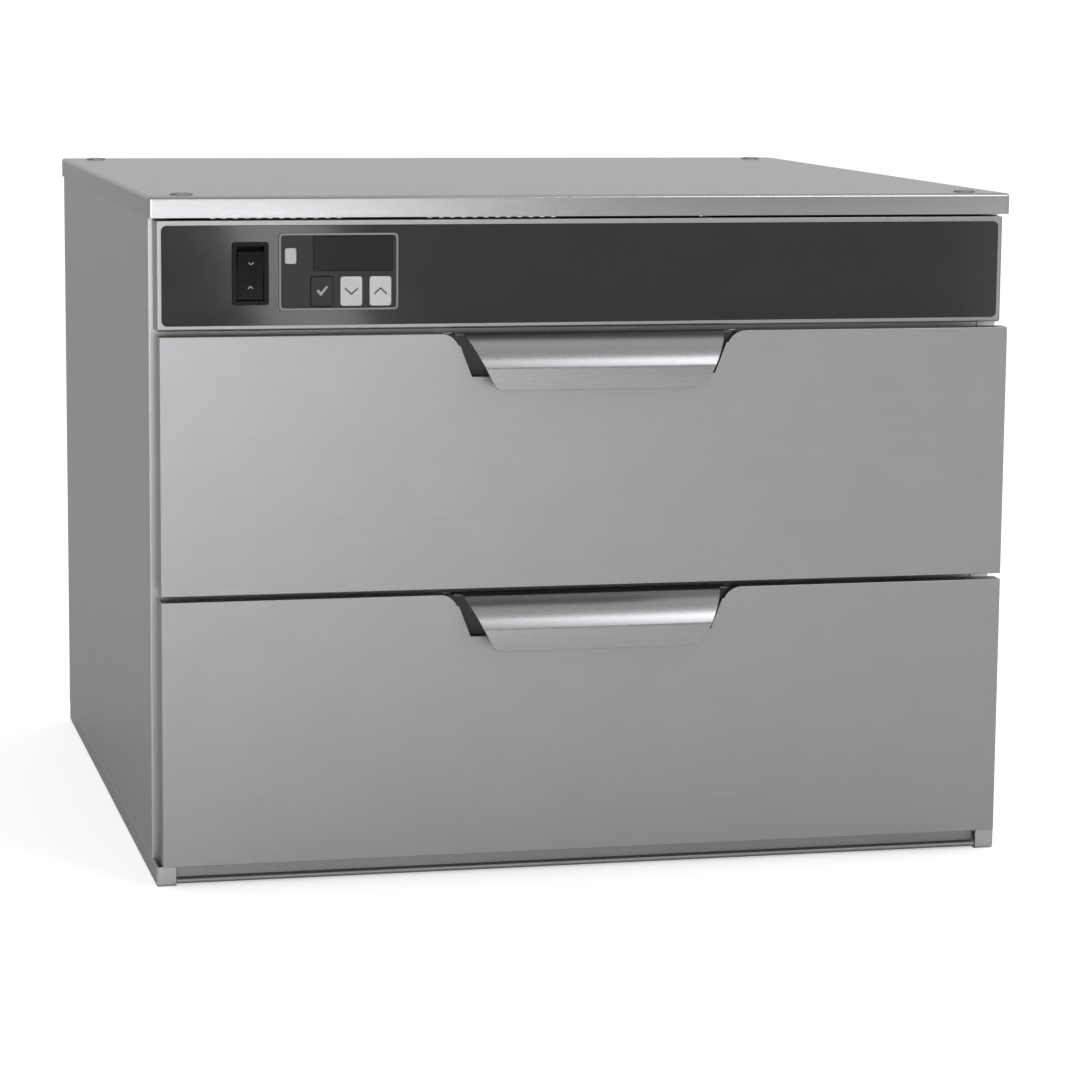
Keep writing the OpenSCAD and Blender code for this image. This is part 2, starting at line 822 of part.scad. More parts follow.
// Left track of a drawer: a channel open towards the middle, with a tab
// that stops the rear roller
module track(rim) {
    low = track_floor(rim) - rail_t;
    high = track_roof(rim) + rail_t;
    difference() {
        union() {
            box([-cavity_x, track_y0, low], [-track_web, track_y1, high]);
            box([-track_web - eps, track_y0, low],
                [-roller_in, track_y1, track_floor(rim)]);
            box([-track_web - eps, track_y0, track_roof(rim)],
                [-roller_out + 2, track_y1, high]);
            box([-track_web - eps, stop_y - rail_t, low],
                [-roller_in, stop_y, track_floor(rim) + stop_h]);
        }
        rod_x(-cavity_x - 1, -track_web + 1, front_roller_y, front_roller_z(rim),
              pin_r);
    }
}

module upper_tracks() {
    color(STEEL_DARK) both_sides() track(upper_rim);
}

module lower_tracks() {
    color(STEEL_DARK) both_sides() track(lower_rim);
}

// Pins of the front rollers, riveted in the tracks' webs
module track_roller_pins() {
    color("#6d7075") both_sides() for (rim = [upper_rim, lower_rim]) {
        rod_x(-cavity_x, -roller_in + 0.3, front_roller_y, front_roller_z(rim), pin_r);
        rod_x(-roller_in + 0.3 - eps, -roller_in + 0.3 + pin_head / 2,
              front_roller_y, front_roller_z(rim), pin_head_r);
    }
}

module roller(y, z) {
    difference() {
        rod_x(-roller_out, -roller_in, y, z, roller_r);
        rod_x(-roller_out - 1, -roller_in + 1, y, z, pin_r + run_fit);
    }
}

module upper_front_rollers() {
    color("#e4e2da") both_sides() roller(front_roller_y, front_roller_z(upper_rim));
}

module lower_front_rollers() {
    color("#e4e2da") both_sides() roller(front_roller_y, front_roller_z(lower_rim));
}

// ---------------------------------------------------------------- drawers
// Each drawer is drawn from the top edge and the height of its front.

// Notch in the top edge of a front, in X and Z, z measured from the top
module notch_outline() {
    top = notch_top_w / 2;
    low = notch_low_w / 2;
    r = notch_corner_r;
    slope = atan2(top - low, notch_h);
    reach = r * tan((90 - slope) / 2);        // from the corner to the arc
    difference() {
        union() {
            polygon([[-top, 5], [-low, -notch_h], [low, -notch_h], [top, 5]]);
            polygon([[-top - reach, 5], [-top - reach, 0],
                     [-top + reach * sin(slope), -reach * cos(slope)],
                     [top - reach * sin(slope), -reach * cos(slope)],
                     [top + reach, 0], [top + reach, 5]]);
        }
        for (sx = [-1, 1])
            translate([sx * (top + reach), -r]) circle(r);
    }
}

// Outer skin: a shallow pan with the notch cut in its top edge
module front_skin(top, h) {
    bottom = top - h;
    color(STEEL) difference() {
        box([-front_x, skin_front, bottom], [front_x, skin_back, top]);
        box([-front_x + skin_t, skin_front + skin_t, bottom + skin_t],
            [front_x - skin_t, skin_back + eps, top - skin_t]);
        translate([0, 0, top]) front_plate(skin_front - 1, skin_back + 1)
            notch_outline();
    }
}

// Pocket behind the notch, from its outer walls, with a margin all round
module pocket_block(top, grow) {
    half = notch_top_w / 2 + notch_corner_r + 4 + grow;
    box([-half, skin_front + skin_t, top - notch_h - 12 - grow],
        [half, skin_front + skin_t + pocket_d + grow, top + grow]);
}

// Insulating slab that fills the front, stepped in behind the skin's edges
module front_core(top, h) {
    bottom = top - h;
    y0 = skin_front + skin_t;
    y1 = liner_back - liner_t;
    gap = 0.2;
    color(WOOL) difference() {
        union() {
            box([-front_x + skin_t + gap, y0, bottom + skin_t + gap],
                [front_x - skin_t - gap, skin_back, top - skin_t - gap]);
            box([-core_x + liner_t + gap, y0, bottom + front_step + liner_t + gap],
                [core_x - liner_t - gap, y1 - gap, top - front_step - liner_t - gap]);
        }
        pocket_block(top, gap);
        front_screw_places(top) rod_y(y1 - 14, y1 + 1, 0, 0, 2.6);
    }
}

// Inner cover of the front: a shallow pan that closes the skin from behind
module front_liner(top, h) {
    bottom = top - h + front_step;
    high = top - front_step;
    lap = 0.5;                                // flange's margin on the skin's edges
    color(STEEL) difference() {
        union() {
            box([-core_x, skin_back, bottom], [core_x, liner_back, high]);
            box([-front_x + lap, skin_back, bottom - front_step + lap],
                [front_x - lap, skin_back + liner_t, high + front_step - lap]);
        }
        box([-core_x + liner_t, skin_back - eps, bottom + liner_t],
            [core_x - liner_t, liner_back - liner_t, high - liner_t]);
        front_screw_places(top) rod_y(liner_back - 2, liner_back + 1, 0, 0, 2.6);
    }
}

// Handle: a visor that curves out and down to an upright lip, cut to a
// trapezoid, on a pocket that closes the notch from behind
module handle(top) {
    a0 = 22;                                  // slope where the visor starts
    drop = handle_h - handle_lip_h;
    a1 = 2 * atan2(drop, handle_reach) - a0;  // slope where it meets the lip
    r = norm([handle_reach, drop]) / (2 * sin((a1 - a0) / 2));
    cy = skin_front + r * sin(a0);            // middle of the visor's arc
    cz = top - r * cos(a0);
    lip_y = skin_front - handle_reach;
    lip_z = top - handle_h;
    color(STEEL) {
        intersection() {
            cross_bar(handle_root_w) {
                intersection() {
                    translate([cy, cz]) difference() {
                        circle(r, $fn = 160);
                        circle(r - handle_t, $fn = 160);
                    }
                    translate([lip_y, top - drop])
                        square([handle_reach + eps, drop + 5]);
                }
                translate([lip_y, lip_z])
                    square([handle_t, handle_lip_h + eps]);
            }
            translate([0, 0, top]) front_plate(lip_y - 1, skin_front + 1)
                handle_outline();
        }
        pocket(top);
    }
}

// Front view of the handle, z measured from the top
module handle_outline() {
    root = handle_root_w / 2;
    low = handle_lip_w / 2;
    r = handle_corner_r;
    slope = atan2(root - low, handle_h);
    c = low - r * tan((90 - slope) / 2);      // middle of each lower corner
    polygon([[-root, 1], [-root, 0],
             [-c - r * cos(slope), -handle_h + r - r * sin(slope)],
             [-c, -handle_h], [c, -handle_h],
             [c + r * cos(slope), -handle_h + r - r * sin(slope)],
             [root, 0], [root, 1]]);
    for (sx = [-1, 1])
        translate([sx * c, -handle_h + r]) circle(r);
}

module pocket(top) {
    t = handle_t;
    half = notch_top_w / 2 + notch_corner_r + 4;
    y0 = skin_front + skin_t;
    difference() {
        union() {
            pocket_block(top, 0);
            box([-handle_root_w / 2, skin_front, top - t],
                [handle_root_w / 2, y0 + eps, top]);
        }
        box([-half + t, y0 - 1, top - notch_h - 12 + t],
            [half - t, y0 + pocket_d - t, top - t]);
        both_sides()
            box([-half - 1, y0 - eps, top - skin_t],
                [-notch_top_w / 2 + 1, y0 + pocket_d + 1, top + 1]);
    }
}

// Screws through the rail frame's front bar into the front
module front_screw_places(top) {
    for (x = [-220, -90, 90, 220])
        translate([x * pan_w / 508, 0, top - rim_drop - 12]) children();
}

module front_screws(top) {
    color(STEEL_DARK) front_screw_places(top) {
        rod_y(liner_back + rail_t, liner_back + rail_t + 2.4, 0, 0, 4.5);
        rod_y(liner_back - 12, liner_back + rail_t + eps, 0, 0, 2.5);
    }
}

// Left rail: ledge under the pan's rim, web, and the flange on the roller
module rail(rim) {
    under = rim_under(rim);
    y0 = liner_back;
    drop = rear_roller_z(rim) - 6;
    difference() {
        union() {
            box([-rail_out, y0, flange_z(rim)], [-rail_in, rail_y1, rim + pan_stop]);
            box([-rail_out, y0, under - rail_t], [-pan_x + pan_rim - 3, pan_y1, under]);
            box([-rail_flange_x, y0, flange_z(rim)],
                [-rail_in, rail_y1, flange_z(rim) + rail_t]);
            box([-rail_out, rear_roller_y - 14, drop], [-rail_in, rail_y1, rim]);
            box([-rail_out, y0, under - 24], [-rail_in, y0 + 30, rim]);
        }
        rod_x(-rail_out - 1, -rail_in + 1, rear_roller_y, rear_roller_z(rim), pin_r);
    }
}

module rail_frame(top) {
    rim = top - rim_drop;
    under = rim_under(rim);
    y0 = liner_back;
    color(STEEL_DARK) difference() {
        union() {
            both_sides() rail(rim);
            box([-rail_in - eps, y0, under - 24], [rail_in + eps, y0 + rail_t, under]);
            box([-rail_in - eps, y0, under - rail_t],
                [rail_in + eps, pan_y0 + pan_rim - 3, under]);
            box([-rail_in - eps, pan_y1 - pan_rim + 3, under - rail_t],
                [rail_in + eps, pan_y1 + pan_play, under]);
            box([-rail_in - eps, pan_y1 + pan_play, under - 20],
                [rail_in + eps, pan_y1 + pan_play + rail_t, rim + pan_stop]);
        }
        front_screw_places(top) rod_y(y0 - 1, y0 + rail_t + 1, 0, 0, 2.55);
    }
}

// Half section of a block with a rounded foot, from its middle out to w
module foot_section(w, h, foot) {
    square([w - foot, h]);
    translate([0, foot]) square([w, h - foot]);
    translate([w - foot, foot]) intersection() {
        circle(foot);
        translate([0, -foot]) square(foot);
    }
}

// Block with round upright corners and a rounded foot
module tub(w, l, h, r, foot) {
    for (turn = [0, 180]) rotate([0, 0, turn]) {
        cross_bar(w / 2 - r) foot_section(l / 2, h, foot);
        rotate([0, 0, 90]) cross_bar(l / 2 - r) foot_section(w / 2, h, foot);
    }
    for (sx = [-1, 1], sy = [-1, 1])
        translate([sx * (w / 2 - r), sy * (l / 2 - r), 0])
            rotate_extrude() foot_section(r, h, foot);
}

// Food pan with a flat rim
module pan(top) {
    rim = top - rim_drop;
    mid_y = (pan_y0 + pan_y1) / 2;
    wall_w = pan_w - 2 * pan_rim;
    wall_l = pan_l - 2 * pan_rim;
    color("#c4c6c8") translate([0, mid_y, rim]) difference() {
        union() {
            translate([0, 0, -pan_t]) linear_extrude(pan_t)
                round_rect(pan_w, pan_l, pan_corner_r + 4);
            translate([0, 0, -pan_h])
                tub(wall_w, wall_l, pan_h, pan_corner_r, pan_floor_r);
        }
        translate([0, 0, -pan_h + pan_t])
            tub(wall_w - 2 * pan_t, wall_l - 2 * pan_t, pan_h,
                pan_corner_r - pan_t, pan_floor_r - pan_t);
    }
}

// Pins of the rear rollers, riveted in the rails' webs
module rail_pins(top) {
    rim = top - rim_drop;
    color("#6d7075") both_sides() {
        rod_x(-roller_out - 0.3, -rail_in, rear_roller_y, rear_roller_z(rim), pin_r);
        rod_x(-roller_out - 0.3 - pin_head, -roller_out - 0.3 + eps,
              rear_roller_y, rear_roller_z(rim), pin_head_r);
    }
}

module rear_rollers(top) {
    color("#e4e2da") both_sides()
        roller(rear_roller_y, rear_roller_z(top - rim_drop));
}

module upper_front_skin() { front_skin(upper_top, upper_front_h); }
module upper_front_core() { front_core(upper_top, upper_front_h); }
module upper_front_liner() { front_liner(upper_top, upper_front_h); }
module upper_handle() { handle(upper_top); }
module upper_rail_frame() { rail_frame(upper_top); }
module upper_pan() { pan(upper_top); }
module upper_rail_pins() { rail_pins(upper_top); }
module upper_rear_rollers() { rear_rollers(upper_top); }
module upper_front_screws() { front_screws(upper_top); }
module lower_front_skin() { front_skin(lower_top, lower_front_h); }
module lower_front_core() { front_core(lower_top, lower_front_h); }
module lower_front_liner() { front_liner(lower_top, lower_front_h); }
module lower_handle() { handle(lower_top); }
module lower_rail_frame() { rail_frame(lower_top); }
module lower_pan() { pan(lower_top); }
module lower_rail_pins() { rail_pins(lower_top); }
module lower_rear_rollers() { rear_rollers(lower_top); }
module lower_front_screws() { front_screws(lower_top); }

top_panel();
top_hole_plugs();
left_side_panel();
right_side_panel();
back_panel();
back_panel_screws();
base_pan();
base_front_sill();
leg_inserts();
front_frame();
cavity_liner();
heating_cables();
side_insulation();
top_insulation();
base_insulation();
back_insulation();
control_fascia();
control_overlay();
controller_housing();
controller_bezel();
display_window();
display_module();
indicator_lens();
control_board();
set_key();
down_key();
up_key();
switch_housing();
switch_rocker();
component_shelf();
terminal_block();
power_relay();
high_limit_thermostat();
temperature_sensor();
cord_gland();
upper_tracks();
lower_tracks();
track_roller_pins();
upper_front_rollers();
lower_front_rollers();
upper_front_skin();
upper_front_core();
upper_front_liner();
upper_handle();
upper_rail_frame();
upper_pan();
upper_rail_pins();
upper_rear_rollers();
upper_front_screws();
lower_front_skin();
lower_front_core();
lower_front_liner();
lower_handle();
lower_rail_frame();
lower_pan();
lower_rail_pins();
lower_rear_rollers();
lower_front_screws();
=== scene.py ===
"""Countertop warming drawer: the finish of every piece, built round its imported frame.

The file is laid out as an add-on. Its settings hold the sizes and colours that
a user would change, each operator makes one piece or one group of like pieces,
and the panel lists them in the order in which they are made.
"""

import json
from math import cos, pi, radians, sin, tan

import bmesh
import bpy
from bpy.props import FloatProperty, FloatVectorProperty, PointerProperty
from mathutils import Matrix, Vector

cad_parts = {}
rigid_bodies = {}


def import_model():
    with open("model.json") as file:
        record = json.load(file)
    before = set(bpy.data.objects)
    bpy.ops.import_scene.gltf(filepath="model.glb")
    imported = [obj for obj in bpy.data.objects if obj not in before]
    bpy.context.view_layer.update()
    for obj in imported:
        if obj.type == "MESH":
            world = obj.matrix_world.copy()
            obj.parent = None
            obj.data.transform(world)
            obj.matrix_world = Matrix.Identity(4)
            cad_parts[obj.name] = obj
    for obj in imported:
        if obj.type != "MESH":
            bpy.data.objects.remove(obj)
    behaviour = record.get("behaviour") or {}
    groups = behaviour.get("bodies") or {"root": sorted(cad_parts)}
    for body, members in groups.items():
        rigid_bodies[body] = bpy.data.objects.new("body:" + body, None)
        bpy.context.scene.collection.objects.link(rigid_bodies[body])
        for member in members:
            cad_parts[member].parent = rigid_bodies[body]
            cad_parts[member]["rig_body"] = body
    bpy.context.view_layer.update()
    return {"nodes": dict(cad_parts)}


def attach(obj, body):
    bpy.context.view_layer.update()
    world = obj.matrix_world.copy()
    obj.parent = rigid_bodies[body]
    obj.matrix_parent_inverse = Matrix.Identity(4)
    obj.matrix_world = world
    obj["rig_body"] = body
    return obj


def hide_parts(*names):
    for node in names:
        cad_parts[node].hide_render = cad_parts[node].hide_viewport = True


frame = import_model()

bl_info = {
    "name": "Countertop warming drawer",
    "version": (1, 0, 0),
    "blender": (4, 5, 0),
    "location": "3D View > Sidebar > Warming drawer",
    "description": "Builds the finish of a two-drawer countertop food warmer",
    "category": "Object",
}


# ---------------------------------------------------------------- settings

def colour(name, description, default):
    """A colour setting."""
    return FloatVectorProperty(name=name, description=description, subtype="COLOR",
                               min=0, max=1, default=default)


def length(name, description, default):
    """A length setting, in metres."""
    return FloatProperty(name=name, description=description, unit="LENGTH",
                         min=0, default=default, precision=5)


class SheetSettings(bpy.types.PropertyGroup):
    """How the sheet metal is folded and cut."""
    fold: length("Fold radius", "Outer radius of a folded edge", 0.0022)
    crease: length("Crease radius", "Inner radius of a folded edge", 0.0007)
    rim: length("Rim radius", "Radius of a cut sheet's edge", 0.0003)
    thin: length("Thin sheet", "Faces narrower than this are a sheet's cut edge", 0.0021)


class FinishSettings(bpy.types.PropertyGroup):
    """Colours and roughness of the finishes."""
    steel: colour("Front steel", "Brushed steel of the fronts", (0.40, 0.405, 0.415))
    lid_steel: colour("Lid steel", "Brushed steel of the lid", (0.46, 0.465, 0.475))
    # The sides' steel is the fronts' steel painted lighter: painted light that stands in
    # for the light the sides catch.
    side_steel_painted_light: colour("Side steel", "Brushed steel of the sides", (0.55, 0.555, 0.565))
    inner_steel: colour("Inner steel", "Steel of pans and linings", (0.56, 0.565, 0.575))
    rail_steel: colour("Rail steel", "Steel of rails and tracks", (0.45, 0.455, 0.46))
    screw_steel: colour("Screw steel", "Steel of screws and pins", (0.36, 0.36, 0.37))
    black: colour("Overlay black", "Glossy face of the strip", (0.024, 0.024, 0.026))
    plastic: colour("Black plastic", "Switch and housings", (0.012, 0.012, 0.013))
    outline: colour("Outline grey", "Controller's light outline", (0.27, 0.275, 0.285))
    key: colour("Key grey", "Light keys", (0.62, 0.625, 0.63))
    mark: colour("Mark grey", "Light marks on keys and rocker", (0.42, 0.42, 0.42))
    steel_rough: FloatProperty(name="Steel roughness", description="Of the fronts",
                               min=0, max=1, default=0.36)
    lid_rough: FloatProperty(name="Lid roughness", description="Of the lid",
                             min=0, max=1, default=0.2)


class StudioSettings(bpy.types.PropertyGroup):
    """Camera, lamps and floor."""
    camera: FloatVectorProperty(name="Camera place", description="Where it stands",
                                subtype="TRANSLATION", unit="LENGTH",
                                default=(-0.60965, -2.74391, 0.61686))
    yaw: FloatProperty(name="Camera yaw", description="Turned to the right, in degrees",
                       default=13.2337)
    pitch: FloatProperty(name="Camera pitch", description="Looking down, in degrees",
                         default=8.6441)
    roll: FloatProperty(name="Camera roll", description="About its axis, in degrees",
                        default=0.50235)
    lens: FloatProperty(name="Lens", description="Focal length for a 36 mm wide film",
                        default=118.822)
    world: FloatProperty(name="Room light", description="Strength of the room's light",
                         min=0, default=1.0)
    world_dim: FloatProperty(name="Dim side", description="Room light from in front",
                             min=0, default=0.38)
    world_bright: FloatProperty(name="Bright side", description="Room light from behind",
                                min=0, default=0.8)
    world_seen: FloatProperty(name="Backdrop", description="Room as the camera sees it",
                              min=0, default=1.0)
    key: FloatProperty(name="Key lamp", description="Brightness of the large lamp",
                       min=0, default=3.4)
    strip: FloatProperty(name="Strip lamp", description="Brightness of the low strip",
                         min=0, default=3.5)
    fill: FloatProperty(name="Fill lamp", description="Brightness of the low fill",
                        min=0, default=4.1)
    upper: FloatProperty(name="Upper lamp", description="Brightness of the lamp that "
                         "the lid's front edge mirrors", min=0, default=0.85)
    left: FloatProperty(name="Left lamp", description="Brightness of the left lamp",
                        min=0, default=1.8)
    right: FloatProperty(name="Right lamp", description="Brightness of the right lamp",
                         min=0, default=0.4)
    floor: colour("Floor", "Colour of the floor", (0.88, 0.88, 0.88))
    floor_glow: FloatProperty(name="Floor glow", description="Light added to the floor "
                              "where it is seen, so that it shows white", default=0.55)


# --------------------------------------------------------------- materials

def add(tree, kind, values=None, **settings):
    """Adds a node, sets its settings and the values of its input sockets."""
    node = tree.nodes.new(kind)
    for name, value in settings.items():
        setattr(node, name, value)
    for name, value in (values or {}).items():
        node.inputs[name].default_value = value
    return node


def join(tree, source, out, target, into):
    """Links one node's output socket to another node's input socket."""
    tree.links.new(source.outputs[out], target.inputs[into])


def new_material(name, colour, roughness, metallic=0.0):
    """A material with its shader set to one colour and gloss."""
    material = bpy.data.materials.new(name)
    material.use_nodes = True
    shader = material.node_tree.nodes["Principled BSDF"]
    shader.inputs["Base Color"].default_value = (*colour, 1)
    shader.inputs["Roughness"].default_value = roughness
    shader.inputs["Metallic"].default_value = metallic
    if metallic:
        shader.inputs["Specular Tint"].default_value = (0.6, 0.6, 0.6, 1)
    material.diffuse_color = (*colour, 1)
    return material, material.node_tree, shader


def grained(tree, scale, detail=3.0, roughness=0.6):
    """Noise in the object's own space, with its own scale along each axis."""
    place = add(tree, "ShaderNodeTexCoord")
    stretch = add(tree, "ShaderNodeMapping", {"Scale": scale})
    noise = add(tree, "ShaderNodeTexNoise",
                {"Scale": 1.0, "Detail": detail, "Roughness": roughness})
    join(tree, place, "Object", stretch, "Vector")
    join(tree, stretch, "Vector", noise, "Vector")
    return noise


def spread(tree, source, low, high, into, socket):
    """Stretches a noise's middle range over low to high, into a socket."""
    span = add(tree, "ShaderNodeMapRange",
               {"From Min": 0.3, "From Max": 0.7, "To Min": low, "To Max": high})
    join(tree, source, "Fac", span, "Value")
    join(tree, span, "Result", into, socket)


def two_tones(tree, shader, colour, one, other):
    """A mix of a colour times one and times another factor, joined to the shader."""
    mix = add(tree, "ShaderNodeMix", data_type="RGBA")
    mix.inputs["A"].default_value = (*[min(1, c * one) for c in colour], 1)
    mix.inputs["B"].default_value = (*[min(1, c * other) for c in colour], 1)
    join(tree, mix, "Result", shader, "Base Color")
    return mix


def tinted(tree, shader, source, colour, swing):
    """Lets the colour swing a little darker and lighter with a noise."""
    mix = two_tones(tree, shader, colour, 1 - swing, 1 + swing)
    spread(tree, source, 0, 1, mix, "Factor")


def bumped(tree, shader, source, strength, distance=0.0002):
    """Lets a noise raise and lower the surface, by up to a distance in metres."""
    bump = add(tree, "ShaderNodeBump", {"Strength": strength, "Distance": distance})
    join(tree, source, "Fac", bump, "Height")
    join(tree, bump, "Normal", shader, "Normal")


def brushed(name, colour, roughness, along, swing=0.05, depth=0.12):
    """Steel sheet brushed along X, Y or Z: streaks in tone, gloss and height."""
    material, tree, shader = new_material(name, colour, roughness, 1.0)
    across, lengthwise = 1400.0, 14.0       # grains per metre
    streaks = grained(tree, [lengthwise if axis == along else across for axis in "XYZ"],
                      5.0, 0.75)
    clouds = grained(tree, (26, 26, 26), 6.0, 0.7)
    both = add(tree, "ShaderNodeMix", {"Factor": 0.3}, data_type="FLOAT")
    join(tree, streaks, "Fac", both, "A")
    join(tree, clouds, "Fac", both, "B")
    tone = add(tree, "ShaderNodeMapRange",
               {"From Min": 0.35, "From Max": 0.65, "To Min": 0, "To Max": 1})
    join(tree, both, "Result", tone, "Value")
    mix = two_tones(tree, shader, colour, 1 - swing, 1 + swing)
    join(tree, tone, "Result", mix, "Factor")
    spread(tree, streaks, roughness - 0.02, roughness + 0.02, shader, "Roughness")
    bumped(tree, shader, streaks, depth)
    return material


def moulded(name, colour, roughness, depth=0.08, swing=0.06, shine=0.5):
    """Plastic, rubber or nylon with a fine moulded texture."""
    material, tree, shader = new_material(name, colour, roughness)
    shader.inputs["Specular IOR Level"].default_value = shine
    texture = grained(tree, (2500, 2500, 2500), 2.0)
    blotches = grained(tree, (60, 60, 60))
    tinted(tree, shader, blotches, colour, swing)
    spread(tree, blotches, roughness - 0.03, roughness + 0.05, shader, "Roughness")
    bumped(tree, shader, texture, depth)
    return material


def glossy(name, colour, roughness, shine=0.5):
    """Smooth printed film or window: a clean gloss with faint smudges."""
    material, tree, shader = new_material(name, colour, roughness)
    shader.inputs["Specular IOR Level"].default_value = shine
    smudges = grained(tree, (38, 38, 38), 5.0, 0.65)
    tinted(tree, shader, smudges, colour, 0.04)
    spread(tree, smudges, roughness - 0.01, roughness + 0.02, shader, "Roughness")
    return material


def fibrous(name, colour):
    """Glass wool: matted fibres, with painted shade that darkens the hollows of their
    bump.
    """
    material, tree, shader = new_material(name, colour, 0.95)
    fibres = grained(tree, (120, 900, 900), 6.0, 0.8)
    tinted(tree, shader, fibres, colour, 0.25)
    bumped(tree, shader, fibres, 0.9, 0.002)
    return material


def circuit_board(name, colour):
    """Green board with a pattern of lighter tracks under its lacquer."""
    material, tree, shader = new_material(name, colour, 0.35)
    place = add(tree, "ShaderNodeTexCoord")
    tracks = add(tree, "ShaderNodeTexVoronoi", {"Scale": 240.0},
                 feature="DISTANCE_TO_EDGE", distance="EUCLIDEAN")
    join(tree, place, "Object", tracks, "Vector")
    mix = two_tones(tree, shader, colour, 1.9, 1)
    step = add(tree, "ShaderNodeMapRange", {"From Min": 0.05, "From Max": 0.09})
    join(tree, tracks, "Distance", step, "Value")
    join(tree, step, "Result", mix, "Factor")
    return material


FINISH = {}


def make_finishes(look):
    """Every finish of the object, by the name of what it is on."""
    FINISH.update({
        "fronts": brushed("front_steel", look.steel, look.steel_rough, "X"),
        "lid": brushed("lid_steel", look.lid_steel, look.lid_rough, "Y"),
        # Painted light: the sides get a lighter copy of the same steel.
        "sides": brushed("side_steel_painted_light", look.side_steel_painted_light, look.steel_rough, "Y"),
        "back": brushed("back_steel", look.steel, look.steel_rough, "X"),
        # The sill's steel takes the screws' darker colour: painted shade for the drawer
        # fronts' shadow, which also tones down its highlight.
        "sill": brushed("sill_steel_painted_shade", look.screw_steel, 0.5, "X"),
        "handles": brushed("handle_steel", look.steel, 0.27, "X", 0.02, 0.03),
        # Pocket behind each handle: the same steel painted far darker, as painted shade
        # for the recess.
        "pocket": brushed("pocket_steel_painted_shade", (0.15, 0.152, 0.156), 0.62, "X", 0.04),
        "inner": brushed("inner_steel", look.inner_steel, 0.3, "X", 0.04, 0.06),
        "pans": brushed("pan_steel", look.inner_steel, 0.32, "Z", 0.03, 0.04),
        "rails": brushed("rail_steel", look.rail_steel, 0.4, "Y", 0.06, 0.1),
        "screws": brushed("screw_steel", look.screw_steel, 0.32, "Z", 0.08, 0.1),
        "overlay": glossy("overlay_gloss", look.black, 0.07),
        "window": glossy("window_gloss", (0.009, 0.009, 0.01), 0.3, 0.25),
        "plastic": moulded("black_plastic", look.plastic, 0.4),
        "switch": moulded("switch_black", (0.005, 0.005, 0.0055), 0.42, shine=0.2),
        "controller": moulded("controller_face", (0.02, 0.02, 0.021), 0.3, shine=0.35),
        "outline": moulded("outline_grey", look.outline, 0.35),
        "key": moulded("key_grey", look.key, 0.45),
        "mark": moulded("mark_grey", look.mark, 0.5, swing=0.03),
        "dark_mark": moulded("dark_mark", (0.1, 0.1, 0.105), 0.5, swing=0.03),
        "lens": moulded("lens_white", (0.5, 0.5, 0.5), 0.2, depth=0.03, swing=0.03),
        "display": moulded("display_red", (0.09, 0.02, 0.015), 0.4),
        "board": circuit_board("board_green", (0.03, 0.12, 0.05)),
        "cream": moulded("terminal_cream", (0.55, 0.5, 0.36), 0.5),
        "relay": moulded("relay_case", (0.45, 0.46, 0.48), 0.3),
        "nylon": moulded("roller_nylon", (0.66, 0.65, 0.6), 0.45),
        "cable": moulded("cable_jacket", (0.19, 0.05, 0.03), 0.6),
        "wool": fibrous("glass_wool", (0.62, 0.54, 0.3)),
    })


# ------------------------------------------------------------------ pieces

SAME_PLACE = 2e-6                   # corners closer together than this are one
TINY = 1e-6                         # lengths up to this count as none
FAR = 1.0                           # more than any width or radius
FLAT = radians(0.4)                 # faces that lean less than this become one
FOLDED = radians(30)                # edges that turn less than this stay as they are
ROUND = radians(40)                 # edges that turn less than this are shaded smooth
SIDEWAYS = 0.5                      # sine from which an edge beside another limits it
SHARE = 0.94                        # share of the room at an edge that is rounded
EDGE_STEPS = 3                      # facets of a rounded edge
CORNER_STEPS = 5                    # facets of a turned part's rounded corner
INK = 0.00012                       # thickness of a printed mark


def placed(node, mesh, finish):
    """Makes a mesh the piece of the object that stands for a CAD node."""
    piece = bpy.data.objects.new(node + "_piece", mesh)
    bpy.context.scene.collection.objects.link(piece)
    if not mesh.materials:
        mesh.materials.append(None)
    mesh.materials[0] = FINISH[finish]
    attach(piece, frame["nodes"][node]["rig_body"])
    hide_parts(node)
    return piece


def merged(node, step):
    """A copy of a CAD node's mesh with its triangles joined to whole faces.

    Corners closer together than step become one.
    """
    shape = bmesh.new()
    shape.from_mesh(frame["nodes"][node].data)
    bmesh.ops.remove_doubles(shape, verts=shape.verts, dist=step)
    bmesh.ops.dissolve_limit(shape, angle_limit=FLAT, verts=shape.verts,
                             edges=shape.edges, use_dissolve_boundaries=False)
    return shape


def width(face, edge):
    """How wide a face is, measured across it from three places on one edge."""
    loop = next(turn for turn in face.loops if turn.edge is edge)
    start, end = loop.vert.co, loop.link_loop_next.vert.co
    along = (end - start).normalized()
    across = face.normal.cross(along)
    widest = 0.0
    for part in (0.25, 0.5, 0.75):
        here = start.lerp(end, part)
        nearest = FAR
        for other in face.edges:
            one, two = (v.co - here for v in other.verts)
            if other is edge or one.dot(along) * two.dot(along) > 0:
                continue
            span = one.dot(along) - two.dot(along)
            share = one.dot(along) / span if span else 0
            far = one.lerp(two, share).dot(across)
            if far > TINY:
                nearest = min(nearest, far)
        widest = max(widest, nearest)
    return widest


def room(edge):
    """The largest radius that the edges meeting this edge's ends leave it."""
    most = FAR
    for face in edge.link_faces:
        for corner in edge.verts:
            here = edge.other_vert(corner).co - corner.co
            for beside in corner.link_edges:
                if beside is edge or face not in beside.link_faces:
                    continue
                there = beside.other_vert(corner).co - corner.co
                lean = sin(here.angle(there))
                if lean > SIDEWAYS:
                    most = min(most, SHARE * there.length * lean)
    return most


